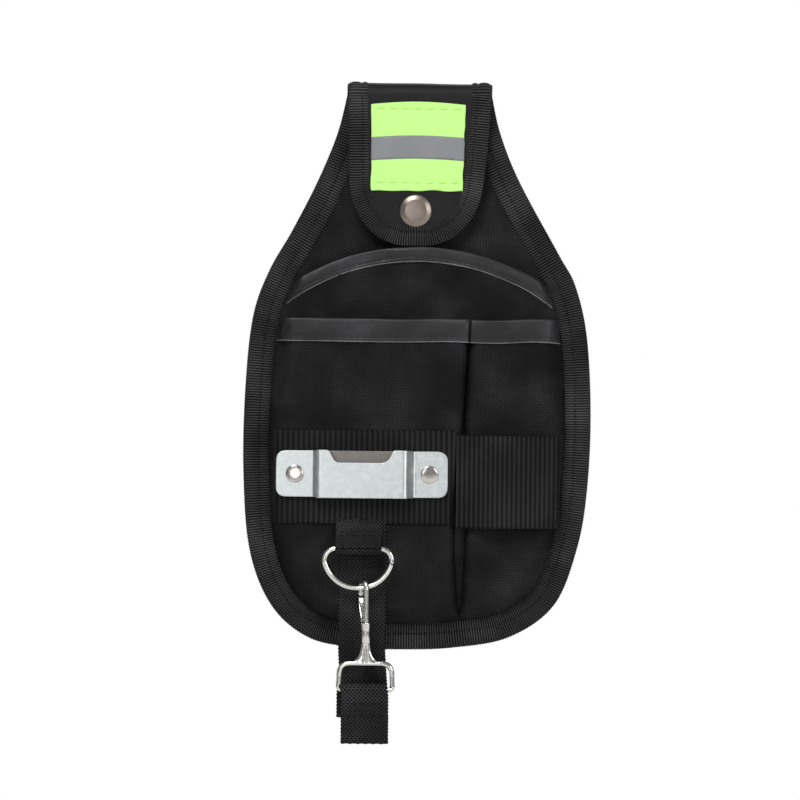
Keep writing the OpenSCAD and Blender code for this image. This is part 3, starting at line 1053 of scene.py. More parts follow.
# Pale colour of the trims' lower lip: a painted highlight where the lip catches light.
TRIM_LIP_HIGHLIGHT = Cloth(Slot.TRIM, Weave.GRAINED, 0.05, 0.3, pitch=2.5, bump=0.4, depth=0.05, sheen=0.0)
PLATE = Metal(Slot.STEEL, (0.25, 0.232, 0.215), (0.165, 0.153, 0.142), rough=(0.3, 0.45), size=0.5, bump=0.12)
CAP = Metal(Slot.NICKEL, (0.31, 0.265, 0.225), (0.24, 0.2, 0.17), rough=(0.3, 0.42), bump=0.02)
FINISHES = [OXFORD, LINING, CORE, TAPE, COATED, SKIN, WIDE, STRAP, NEON, BEADS, STEEL, RIVET, NICKEL]


DRESSED: list[tuple[Piece, Cloth | Metal]] = []


def place(obj: Piece, body: Body | None, finish: Cloth | Metal, *nodes: str) -> Piece:
    """Let a piece ride on a body and wear a finish.

    Args:
        obj: the piece.
        body: what it moves with, or None where it lies between two bodies.
        finish: its finish.
        nodes: CAD nodes that it stands for.

    Returns:
        The piece.
    """
    if body is not None:
        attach(obj, body.value)
    if nodes:
        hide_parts(*nodes)
    DRESSED.append((obj, finish))
    LOG.info("%s made", obj.name)
    return obj


def dress_all() -> None:
    """Build each finish once, and give it to its pieces and CAD nodes."""
    made = {finish: finish.make() for finish in dict.fromkeys([f for _, f in DRESSED] + FINISHES)}
    by_slot = {finish.slot.value: made[finish] for finish in FINISHES}
    for obj, finish in DRESSED:
        obj.data.materials.clear()
        obj.data.materials.append(made[finish])
    for part in frame["record"]["subparts"]:
        for holder in frame["nodes"][part["node"]].material_slots:
            holder.material = by_slot[part["material_slot"]]


# ---- shared outlines

BODY_EDGE = catmull([
    (-39, 0), (-44.2, -21), (-54.6, -46.6), (-67.6, -72.4), (-79.6, -93.8), (-88, -118), (-91.7, -155),
    (-92.4, -200), (-88.6, -243), (-76.6, -272.5), (-56.8, -289.3), (-32, -294.4), (-7, -295.2),
    (20, -294), (50, -288.2), (73.9, -271), (85.9, -241), (91, -210), (92.6, -170), (90.2, -128),
    (83.8, -100.6), (74.6, -83.6), (53.4, -45.4), (43, -20), (38.3, 0)], 10)
FLAP_EDGE = catmull([
    (-38.2, 0), (-37.6, -25), (-36.8, -50), (-32.5, -63.5), (-24, -74), (-12.5, -79.3), (-2, -79.9),
    (8.5, -79.3), (20, -74), (28.8, -63.5), (33.4, -50), (36, -25), (37.8, 0)], 10)
PANEL_Y = Box.of("front_face").low[1]
BACK_Y = Box.of("back_lining").high[1]
REAR_Y = Box.of("rear_pocket_panel").low[1]
FRONT_Y = Box.of("front_pocket_left").low[1]
MOUTH_Z = Box.of("front_trim_left").high[2]
ARCH_TOP = Box.of("rear_pocket_trim").high[2]
ARCH_R = 126.0
SNAP = Box.of("snap_stud").mid[[0, 2]]
FLAP_LEAN = math.radians(2.2)
FLAP_FRONT = -6.5
FLAP_BACK = -4.5
# Distance from the edge at which what is sewn under the binding ends
COVERED = 12.6
# Depth of the seam between a pocket's cloth and the back panel
SEAM_Y = 4.2
# Inner sides of the two front pockets, as Z and X from the bottom up
SIDE_LEFT = ((-300, 23.6), (-280, 22.9), (-230, 20.6), (-179, 24.7), (-119, 27.5), (-90, 27.5))
SIDE_RIGHT = ((-300, 24.6), (-280, 24.0), (-230, 25.9), (-179, 25.1), (-119, 27.9), (-90, 27.9))


def side_x(z: Array, left: bool) -> Array:
    """Return the X of a front pocket's inner side at a height."""
    rows = catmull(SIDE_LEFT if left else SIDE_RIGHT, 8)
    return np.interp(z, rows[:, 0], rows[:, 1])


def arch_z(x: Array) -> Array:
    """Return the height of the rear pocket's mouth."""
    return ARCH_TOP - ARCH_R + np.sqrt(np.maximum(ARCH_R**2 - np.asarray(x, float) ** 2, 0))


def from_edge(x: Array, z: Array) -> Array:
    """Return the distance from the pouch's outer edge."""
    flat = np.column_stack([np.ravel(x), np.ravel(z)])
    return edge_distance(flat, BODY_EDGE[::2]).reshape(np.shape(x))


def rear_depth(x: Array, z: Array) -> Array:
    """Return the Y of the rear pocket's cloth."""
    rise = swell((from_edge(x, z) - 13.6) / 10)
    return SEAM_Y - (SEAM_Y - REAR_Y) * rise - 0.25 * rise * waves(x, z, 11, 46)


def front_depth(x: Array, z: Array, left: bool) -> Array:
    """Return the Y of a front pocket's cloth.

    Args:
        x: positions across.
        z: heights.
        left: the left pocket rather than the right one.

    Returns:
        The depths, in millimetres.
    """
    x, z = np.broadcast_arrays(np.asarray(x, float), np.asarray(z, float))
    reach = 6 + 5 * smoothstep((np.abs(z + 201) - 26) / 30)
    outer = SEAM_Y - (SEAM_Y - FRONT_Y) * swell((from_edge(x, z) - 14.2) / reach)
    gap = (side_x(z, left) - x) * (1 if left else -1)
    inner = REAR_Y - 0.5 + (FRONT_Y - REAR_Y + 0.5) * swell(gap / 4.5)
    soft = 1.2
    top = np.maximum(outer, inner)
    joined = top + soft * np.log(np.exp((outer - top) / soft) + np.exp((inner - top) / soft))
    joined = np.maximum(joined - soft * math.log(2) * np.exp(-np.abs(outer - inner) / soft), FRONT_Y)
    full = (SEAM_Y - joined) / (SEAM_Y - FRONT_Y)
    quiet = smoothstep((np.abs(z + 203) - 22) / 20)
    return joined - 0.45 * full * quiet * waves(x, z, 5 if left else 8, 52) - 0.5 * full * quiet


def lean(obj: Piece) -> Piece:
    """Turn a piece from the flap's own plane to how the flap hangs."""
    obj.data.transform(Matrix.Rotation(FLAP_LEAN, 4, "X"))
    return obj


def fold_radius(t: Array, back: float, front: float, dip: float) -> Array:
    """Return the fold's radius, which is least at its top, where the belt pulls it tight."""
    return back + (front - back) * smoothstep(2 * t) - dip * np.sin(math.pi * t)


def bend_over_fold(obj: Piece) -> None:
    """Bake a piece's transform into its mesh; the piece lies between the body and the flap."""
    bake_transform(obj)


def span(height: Callable[[Array], Array]) -> tuple[float, float]:
    """Find where a line across the pouch runs under the binding.

    Args:
        height: the line's Z from X.

    Returns:
        The line's lowest and highest X.
    """
    xs = np.linspace(-88, 88, 706)
    inside = xs[from_edge(xs, height(xs)) > COVERED]
    middle = inside[np.abs(inside) < 80]
    return float(middle.min()), float(middle.max())


def closed(outline: Array) -> Array:
    """Resample a closed outline evenly."""
    return respace(np.vstack([outline, outline[:1]]), 400)[:-1]


# ---- binding and fold


@dataclass
class Binding:
    """The ribbed tape round the body, over the fold and round the flap."""

    body_width: float = 14.0
    flap_width: float = 10.5
    rib_pitch: float = 1.4
    rib: float = 0.17
    step: float = 0.36
    mid_back: float = 6.25
    mid_flap: float = -5.5
    half_back: float = 2.6
    half_flap: float = 1.6
    body_groove: float = 8.5
    flap_groove: float = 7.3
    thread_sunk: float = 0.35

    def arc_part(self, x0: float, x1: float, rising: bool) -> tuple[Array, Array, Array]:
        """Lay one side of the fold.

        Args:
            x0: the edge's X on the body.
            x1: its X on the flap.
            rising: run from the body to the flap rather than back.

        Returns:
            Points, outward directions and face directions.
        """
        t = np.linspace(0, 1, 60)
        turn = t * (math.pi + FLAP_LEAN)
        r = fold_radius(t, self.mid_back, -self.mid_flap, 0.55)
        x = x0 + (x1 - x0) * t
        pts = np.column_stack([x, r * np.cos(turn), r * np.sin(turn)])
        face = np.column_stack([0 * t, np.cos(turn), np.sin(turn)])
        out = each((math.copysign(1, x0), 0, 0), len(t))
        return (pts, out, face) if rising else (pts[::-1], out[::-1], face[::-1])

    def flat_part(self, edge: Array, y: float, face_y: float) -> tuple[Array, Array, Array]:
        """Lay the tape along a flat edge.

        Args:
            edge: the edge's points, in X and Z.
            y: the depth of the tape's middle.
            face_y: 1 or -1, the side that the outer face looks to.

        Returns:
            Points, outward directions and face directions.
        """
        edge = respace(edge, max(8, int(run_lengths(edge)[-1] / self.step)))
        t = tangents(edge) * face_y
        out = np.column_stack([t[:, 1], np.zeros(len(t)), -t[:, 0]])
        out[0] = out[-1] = 0
        out[0, 0], out[-1, 0] = np.sign(edge[0, 0]), np.sign(edge[-1, 0])
        kernel = np.hanning(19) / np.hanning(19).sum()
        padded = np.pad(out, ((9, 9), (0, 0)), mode="edge")
        out = np.stack([np.convolve(padded[:, c], kernel, "valid") for c in range(3)], axis=1)
        out /= np.linalg.norm(out, axis=1)[:, None]
        pts = np.column_stack([edge[:, 0], np.full(len(edge), y), edge[:, 1]])
        face = each((0, face_y, 0), len(edge))
        if face_y < 0:
            turn = np.array(Matrix.Rotation(FLAP_LEAN, 3, "X"))
            pts, out, face = pts @ turn.T, out @ turn.T, face @ turn.T
        return pts, out, face

    def profiles(self, width: Array, half: Array, groove: Array) -> Array:
        """Return the tape's cross-section at each step.

        Args:
            width: visible width.
            half: half the tape's overall thickness.
            groove: distance from the edge to the row of stitches.

        Returns:
            Points (out, face), shape (steps, points, 2).
        """
        one = np.ones_like(width)
        front = [(-width, -half + 1.0), (-width + 0.1, -half + 0.35), (-width + 0.5, -half),
                 ((-width - groove) / 2, -half - 0.12), (-groove - 1.0, -half - 0.02),
                 (-groove - 0.4, -half + 0.25), (-groove, -half + 0.5), (-groove + 0.4, -half + 0.2),
                 (-groove + 1.2, -half - 0.15), (-groove * 0.62, -half - 0.32),
                 (-groove * 0.36, -half - 0.22), (-1.5 * one, -half + 0.3), (-0.6 * one, -half + 0.85),
                 (-0.1 * one, -half * 0.45), (0.06 * one, 0 * one)]
        rows = [np.stack([a * one, b * one], axis=-1) for a, b in front]
        mirror = [np.stack([r[:, 0], -r[:, 1]], axis=-1) for r in rows[-2::-1]]
        return np.stack(rows + mirror, axis=1)

    def ribs(self, along: Array, across: Array) -> Array:
        """Return the height of the tape's ribs."""
        uneven = 1 + 0.35 * np.sin(along * 0.37) * np.sin(along * 0.113 + 2)
        return self.rib * uneven * np.sin(TAU * along / self.rib_pitch) + 0.04 * np.sin(across * 7)

    def build(self) -> list[Piece]:
        """Make the tape on the body, the fold and the flap, and its stitches."""
        right_body, left_body = BODY_EDGE[-1, 0], BODY_EDGE[0, 0]
        right_flap, left_flap = FLAP_EDGE[-1, 0], FLAP_EDGE[0, 0]
        runs = [
            ("edge_binding_tape", Body.ROOT, ["edge_binding"], self.flat_part(BODY_EDGE, self.mid_back, 1),
             lambda t: 0 * t),
            ("fold_binding_right", None, [], self.arc_part(right_body, right_flap, True),
             lambda t: smoothstep(2 * t)),
            ("flap_binding_tape", Body.FLAP, ["flap_binding"],
             self.flat_part(FLAP_EDGE[::-1], self.mid_flap, -1), lambda t: 0 * t + 1),
            ("fold_binding_left", None, [], self.arc_part(left_body, left_flap, False),
             lambda t: smoothstep(2 - 2 * t))]
        made = []
        start = 0.0
        for name, body, nodes, part, flap_share in runs:
            track = Track(*part)
            t = np.linspace(0, 1, len(track.points))
            share = flap_share(t)
            width = self.body_width + (self.flap_width - self.body_width) * share
            half = self.half_back + (self.half_flap - self.half_back) * share
            groove = self.body_groove + (self.flap_groove - self.body_groove) * share
            bend = 1 + 0.06 * waves(track.along + start, 0 * t, 3, 60)
            prof = self.profiles(width, half * bend, groove * (1 + 0.02 * (bend - 1)))
            across = np.cumsum(np.linalg.norm(np.diff(prof[0], axis=0, prepend=prof[0][:1]), axis=1))
            obj = sweep(name, track, prof, self.ribs, wrap=False, across=across, start=start)
            made.append(place(obj, body, TAPE, *nodes))
            if body is None:
                bend_over_fold(obj)
            else:
                made += self.threads(name, track, body, groove[0], half[0] - self.thread_sunk)
            start += track.along[-1]
        return made

    def threads(self, name: str, track: Track, body: Body, groove: float, high: float) -> list[Piece]:
        """Sew the tape through, with a row of stitches on each face.

        Args:
            name: the tape's name.
            track: its path.
            body: what it rides on.
            groove: distance from the edge to the row.
            high: how far the row stands from the tape's middle.

        Returns:
            Both rows.
        """
        labels = ("inner", "outer") if body is Body.FLAP else ("front", "back")
        made = []
        for side, label in zip((-1, 1), labels):
            path = track.points - track.out * groove + track.face * (side * high)
            thread = stitches(f"{name}_thread_{label}", path[::3], track.face[::3] * side)
            made.append(place(thread, body, THREAD))
        return made


@dataclass
class TopFold:
    """The cloth that lies over the belt between the body and the flap."""

    outer_back: float = BACK_Y
    outer_flap: float = -FLAP_FRONT + 0.1
    inner: float = 4.5
    tail: float = 4.4

    def build(self) -> list[Piece]:
        """Make the folded strip that lies between the body and the flap."""
        t = np.concatenate([np.linspace(0, 1, 30), np.ones(4)])
        straight = np.concatenate([np.zeros(30), np.linspace(0.25, 1, 4) * self.tail])[:, None]
        turn = (t * (math.pi + FLAP_LEAN))[:, None]
        x = np.arange(BODY_EDGE[0, 0] + 1.5, BODY_EDGE[-1, 0] - 1.4, 1.5)[None]
        outer = fold_radius(t, self.outer_back, self.outer_flap, 0.3)[:, None]
        outer = outer + 0.2 * waves(x + 0 * turn, turn * 7, 21, 34) * np.sin(t * math.pi)[:, None]
        shells = []
        for r in (outer, np.full_like(outer, self.inner)):
            y, z = r * np.cos(turn), r * np.sin(turn)
            y, z = y - straight * math.sin(-FLAP_LEAN), z - straight * math.cos(FLAP_LEAN)
            shells.append(np.stack([x + 0 * turn, y, z], axis=-1))
        rows, cols = shells[0].shape[:2]
        faces = grid_faces(rows, cols)
        faces += [tuple(v + rows * cols for v in f) for f in grid_faces(rows, cols, flip=True)]
        pts = np.vstack([s.reshape(-1, 3) for s in shells])
        lay = np.tile(np.stack(np.broadcast_arrays(x, turn * 7 + straight), axis=-1).reshape(-1, 2), (2, 1))
        obj = mesh_piece("fold_cloth", pts, faces, lay)
        place(obj, None, COATED, "top_fold")
        bend_over_fold(obj)
        return [obj]


# ---- cloth body


@dataclass
class BackPanel:
    """The padded back: outer cloth in front, foam between and lining behind."""

    tuck: float = 4.0

    def build(self) -> list[Piece]:
        """Make the two cloth faces of the padded back."""
        edge = closed(inset(BODY_EDGE, self.tuck))

        def front(x: Array, z: Array) -> Array:
            """Return the Y of the outer cloth."""
            far = from_edge(x, z)
            soft = 0.3 * (1 + waves(x, z, 31, 48)) * smoothstep(far / 30)
            return PANEL_Y + 0.1 - soft - 0.3 * waves(x, z, 35, 13) * np.exp(-(((far - 17) / 6) ** 2))

        def back(x: Array, z: Array) -> Array:
            """Return the Y of the lining."""
            far = from_edge(x, z)
            rise = swell((far - 12) / 16)
            near = np.hypot(np.asarray(x) - SNAP[0], np.asarray(z) - SNAP[1])
            drawn = 0.35 * waves(x, z, 36, 14) * np.exp(-(((far - 17) / 7) ** 2))
            full = rise * (0.45 + 0.45 * waves(x, z, 33, 60)) + drawn
            return BACK_Y - 0.5 + full * smoothstep((near - 5) / 10)

        face = place(sheet_piece("panel_cloth", edge, front, 2.4), Body.ROOT, OXFORD, "front_face")
        lining = place(sheet_piece("lining_cloth", edge, back, 2.4, facing=1), Body.ROOT, LINING,
                       "back_lining")
        thicken(face, 0.6)
        thicken(lining, 0.6)
        return [face, lining]


@dataclass
class Pockets:
    """The rear pocket, the two front pockets and the trims on their mouths."""

    cloth: float = 1.0
    trim_high: float = 12.0
    rear_trim_high: float = 7.7
    step: float = 2.2
    shift_cap: float = 1.6
    hug_from: float = 17.5

    def rear_outline(self) -> Array:
        """Return the outline of the rear pocket's cloth."""
        edge = inset(BODY_EDGE, 13.0)
        low = edge[edge[:, 1] < arch_z(edge[:, 0])]
        xs = np.linspace(low[-1, 0], low[0, 0], 80)
        return np.vstack([low, np.column_stack([xs, arch_z(xs) - 0.5])[1:-1]])

    def front_outline(self, left: bool) -> Array:
        """Draw one front pocket's cloth.

        Args:
            left: the left pocket rather than the right one.

        Returns:
            Its outline, anticlockwise.
        """
        edge = inset(BODY_EDGE, 13.4)
        side = side_x(edge[:, 1], left)
        kept = (edge[:, 1] < MOUTH_Z) & ((edge[:, 0] < side) if left else (edge[:, 0] > side))
        low = edge[kept]
        corner = low[-1] if left else low[0]
        zs = np.linspace(corner[1], MOUTH_Z - 0.5, 70)
        inner = np.column_stack([side_x(zs, left), zs])
        return np.vstack([low, inner[1:]]) if left else np.vstack([low, inner[::-1][:-1]])

    def foremost(self, depth: Surface, xs: Array, tops: Array, high: float) -> Array:
        """Find how far forwards a trim lies, so that it bridges the cloth under it.

        Args:
            depth: Y of the cloth.
            xs: positions across.
            tops: the height of the mouth at each.
            high: the trim's height.

        Returns:
            The trim's Y.
        """
        inward = np.sign(xs.mean() - xs)
        rows = [depth(xs + inward * shift, tops - drop)
                for drop in (2.0, high * 0.5, high, high + 2) for shift in (0.0, 3.0)]
        return np.min(rows, axis=0) - 0.1

    def hug(self, obj: Piece, path: Array, depth: Surface) -> None:
        """Lay the ends of a trim on the cloth, down to where the binding covers them.

        Args:
            obj: a piece of the trim.
            path: the trim's mouth line.
            depth: Y of the cloth under it.
        """
        flat = np.zeros(len(obj.data.vertices) * 3)
        obj.data.vertices.foreach_get("co", flat)
        p = flat.reshape(-1, 3) / MM
        far = from_edge(p[:, 0], p[:, 2])
        near = smoothstep((self.hug_from - far) / 3)
        lift = p[:, 1] - np.interp(p[:, 0], path[:, 0], path[:, 1])
        under = depth(p[:, 0], p[:, 2]) - 0.75 * smoothstep((far - 13.4) / 2) + 0.35 * lift
        p[:, 1] += (under - p[:, 1]) * near
        obj.data.vertices.foreach_set("co", (p * MM).ravel())
        obj.data.update()

    def relax(self, obj: Piece, held: Callable[[Array], Array]) -> None:
        """Let a pocket's cloth swell and settle between its seams.

        Args:
            obj: an open skin.
            held: gives 1 for points that the seams hold, from points in millimetres.
        """
        rest = np.array([v.co for v in obj.data.vertices])
        pins = held(rest / MM)
        group = obj.vertex_groups.new(name="seams")
        for index, weight in enumerate(pins):
            group.add([index], float(weight), "REPLACE")
        cloth = obj.modifiers.new("settle", "CLOTH")
        cloth.settings.vertex_group_mass = "seams"
        cloth.settings.mass = 0.25
        cloth.settings.quality = 5
        cloth.settings.tension_stiffness = cloth.settings.compression_stiffness = 25
        cloth.settings.bending_stiffness = 1.5
        cloth.settings.shrink_min = -0.012
        cloth.settings.use_pressure = True
        cloth.settings.uniform_pressure_force = 1.5
        cloth.settings.effector_weights.gravity = 0.15
        cloth.point_cache.frame_start = 1
        cloth.point_cache.frame_end = 20
        for step in range(1, 21):
            bpy.context.scene.frame_set(step)
        view = bpy.context.evaluated_depsgraph_get()
        moved = np.array([v.co for v in obj.evaluated_get(view).data.vertices])
        obj.modifiers.remove(cloth)
        bpy.context.scene.frame_set(1)
        shift = moved - rest
        size = np.linalg.norm(shift, axis=1, keepdims=True)
        cap = self.shift_cap * MM * (1 - pins[:, None])
        shift *= np.minimum(1, cap / np.maximum(size, 1e-9))
        obj.data.vertices.foreach_set("co", (rest + shift).ravel())
        obj.data.update()
        obj.vertex_groups.clear()
        LOG.info("%s settled, %.2f mm at most", obj.name, 1000 * np.abs(shift).max())

    def trim(self, name: str, path: Array, high: float, seed: int, body_nodes: Sequence[str],
             slack: float, depth: Surface) -> list[Piece]:
        """Fold a strip of soft coated cloth over a pocket's mouth.

        Args:
            name: the trim's name.
            path: points of the mouth, left to right.
            high: the trim's height.
            seed: picks its wrinkles.
            body_nodes: CAD nodes that it stands for.
            slack: how far its top edge wanders.
            depth: Y of the cloth under it.

        Returns:
            The trim, the thin lip along its lower edge, whose pale colour is a painted highlight, and its
            stitches.
        """
        path = respace(path, int(run_lengths(path)[-1] / 0.8))
        s = run_lengths(path)
        path = path.copy()
        path[:, 2] += slack * waves(s, 0 * s, seed, 34)
        path[:, 1] -= 0.5 * slack * (1 + waves(s, 0 * s + 9, seed + 1, 40))
        run = tangents(path)
        face = each((0, 1, 0), len(run))
        down = np.cross(face, run)
        down /= np.linalg.norm(down, axis=1)[:, None]
        track = Track(path, down, face)
        t, c = 0.7, self.cloth
        front = [(0.1, -t * 0.2), (0.45, -t * 0.75), (1.1, -t), (high * 0.3, -t - 0.15),
                 (high * 0.55, -t - 0.12), (high - 2.6, -t), (high - 2.0, -t + 0.3), (high - 1.4, -t),
                 (high - 0.4, -t + 0.05), (high, -t + 0.35), (high, 0.1)]
        back = [(high, c + 0.1), (high - 0.5, c + t), (high * 0.5, c + t), (1.1, c + t), (0.4, c + t * 0.7),
                (0.05, c * 0.5)]

        def wrinkle(along: Array, across: Array) -> Array:
            """Return the height of the trim's soft wrinkles."""
            fine = waves(along, across * 2.2, seed + 2, 18) * 0.32 + waves(along, across, seed + 5, 40) * 0.6
            return fine * np.sin(np.clip(across / high, 0, 1) * math.pi)

        body = sweep(name, track, np.array(front + back), wrinkle)
        made = [place(body, Body.ROOT, SKIN, *body_nodes)]
        # The thin lip along the trim's lower edge is shaped; its pale colour is a painted highlight.
        rim = np.array([(high - 0.1, -t + 0.2), (high + 0.35, -t + 0.15), (high + 0.5, -0.1),
                        (high - 0.1, 0.2)])
        made.append(place(sweep(f"{name}_lip_highlight", track, rim), Body.ROOT, TRIM_LIP_HIGHLIGHT))
        row = path + down * (high - 2.0) - face * (t - 0.2)
        thread = stitches(f"{name}_thread", row[::2], -face[::2], 3.0, 0.5, 0.16)
        made.append(place(thread, Body.ROOT, SKIN_THREAD))
        for piece in made:
            self.hug(piece, path, depth)
        return made

    def rear(self) -> Piece:
        """Make the rear pocket's cloth."""
        cloth = sheet_piece("rear_pocket_cloth", self.rear_outline(), rear_depth, self.step)

        def held(p: Array) -> Array:
            """Hold the cloth at its seams and under the front pockets."""
            near = from_edge(p[:, 0], p[:, 2]) < 15.5
            return ((near | (p[:, 2] < MOUTH_Z - 2) | (p[:, 2] > arch_z(p[:, 0]) - 4))).astype(float)

        self.relax(cloth, held)
        place(cloth, Body.ROOT, OXFORD, "rear_pocket_panel")
        thicken(cloth, self.cloth)
        self.rear_outline()
        return cloth

    def rear_trim(self) -> list[Piece]:
        """Make the trim on the rear pocket's arched mouth."""
        lo, hi = span(lambda x: arch_z(x) - self.rear_trim_high)
        xs = np.linspace(lo - 3, hi + 3, 160)
        ys = self.foremost(rear_depth, xs, arch_z(xs), self.rear_trim_high)
        path = np.column_stack([xs, ys, arch_z(xs)])
        return self.trim("rear_trim_skin", path, self.rear_trim_high, 61, ["rear_pocket_trim"], 0.2,
                         rear_depth)

    def front(self, left: bool) -> list[Piece]:
        """Make one front pocket.

        Args:
            left: the left pocket rather than the right one.

        Returns:
            The pocket's cloth and the pieces of its trim.
        """
        name = "left" if left else "right"
        depth = partial(front_depth, left=left)
        cloth = sheet_piece(f"front_pocket_{name}_cloth", self.front_outline(left), depth, self.step)

        def held(p: Array) -> Array:
            """Hold the cloth at its seams, its trim and its band."""
            near = from_edge(p[:, 0], p[:, 2]) < 16
            gap = np.abs(p[:, 0] - side_x(p[:, 2], left)) < 2
            band = np.abs(p[:, 2] + 203) < 27
            return (near | gap | band | (p[:, 2] > MOUTH_Z - 13)).astype(float)

        self.relax(cloth, held)
        place(cloth, Body.ROOT, OXFORD, f"front_pocket_{name}")
        thicken(cloth, self.cloth)
        self.front_outline(left)
        lo, hi = span(lambda x: 0 * x + MOUTH_Z - 5)
        cut = side_x(np.array([MOUTH_Z]), left)[0]
        xs = np.linspace(lo, cut, 120) if left else np.linspace(cut, hi, 90)
        tops = np.full(len(xs), MOUTH_Z)
        path = np.column_stack([xs, self.foremost(depth, xs, tops, self.trim_high), tops])
        seed, slack = (40, 0.2) if left else (51, 0.3)
        return [cloth] + self.trim(f"front_trim_{name}_skin", path, self.trim_high, seed,
                                   [f"front_trim_{name}"], slack, depth)

    def build(self) -> list[Piece]:
        """Make the pockets from back to front."""
        return [self.rear()] + self.front(True) + self.front(False) + self.rear_trim()


@dataclass
class Bands:
    """The wide ribbed webbing: a flat band on the left and a tool loop on the right."""

    thick: float = 1.5
    rib_pitch: float = 2.8
    rib: float = 0.16
    loop_depth: float = 5.2
    loop_pitch: float = 2.5

    def strip(self, name: str, node: str, depth: Surface, relief: Surface, finish: Cloth) -> Piece:
        """Make one band over the pockets.

        Args:
            name: the piece's name.
            node: the CAD node that gives its ends.
            depth: Y of the cloth under it.
            relief: the weave's height.
            finish: its finish.

        Returns:
            The band.
        """
        box = Box.of(node)
        low, high = box.low, box.high
        xs = np.arange(low[0], high[0] + 0.2, 0.36)
        zs = np.linspace(low[2], high[2], 46)
        x, z = np.meshgrid(xs, zs)
        edge = np.minimum(np.minimum(z - low[2], high[2] - z) / 1.2, 1)
        front = depth(x, z) - self.thick * (0.45 + 0.55 * swell(edge)) - relief(x - low[0], z - low[2])
        pts = np.stack([x, front, z], axis=-1).reshape(-1, 3)
        faces = grid_faces(len(zs), len(xs))
        lay = np.column_stack([x.ravel() - low[0], z.ravel()])
        obj = mesh_piece(name, pts, faces, lay)
        thicken(obj, self.thick * 0.8)
        return place(obj, Body.ROOT, finish, node)

    def build(self) -> list[Piece]:
        """Make both bands and the stitches at their ends."""
        right = Box.of("band_right")
        start, end = right.low[0], right.high[0]

        def ribs(along: Array, across: Array) -> Array:
            """Return the height of the flat band's ribs."""
            uneven = 0.8 + 0.35 * waves(along, across * 0.3, 91, 9)
            dots = 0.05 * np.sin(TAU * across / 1.1)
            return self.rib * uneven * np.sin(TAU * along / self.rib_pitch) + dots

        def knots(along: Array, across: Array) -> Array:
            """Return the height of the tool loop's dotted ribs."""
            column = np.sin(TAU * along / self.loop_pitch)
            dots = np.sin(TAU * across / 2.2 + math.pi * np.floor(along / self.loop_pitch))
            return smoothstep((along - 4) / 0.6) * (0.16 * column + 0.1 * np.maximum(column, 0) * dots)

        def loop(x: Array, z: Array) -> Array:
            """Return the Y behind the tool loop."""
            u = (x - start) / (end - start)
            k = smoothstep(np.minimum(u, 1 - u) / 0.3)
            under = np.minimum(front_depth(x, z, False), FRONT_Y + 7 * smoothstep((x - 66) / 12))
            return under * (1 - k) + (FRONT_Y - self.loop_depth) * k

        under_left = partial(front_depth, left=True)
        made = [self.strip("left_band_webbing", "band_left", under_left, ribs, WIDE),
                self.strip("tool_loop_webbing", "band_right", loop, knots, LOOP)]
        for name, x, box, depth in (("left_band", -74.6, Box.of("band_left"), under_left),
                                    ("loop_start", start + 2.2, right, loop),
                                    ("loop_end", end - 1.6, right, loop)):
            z = np.linspace(box.low[2] + 1.5, box.high[2] - 1.5, 60)
            x = np.full(60, x)
            path = np.column_stack([x, depth(x, z) - self.thick - 0.15, z])
            thread = stitches(f"{name}_thread", path, each(FORWARDS, 60), length=3)
            made.append(place(thread, Body.ROOT, THREAD))
        return made


# ---- tape clip


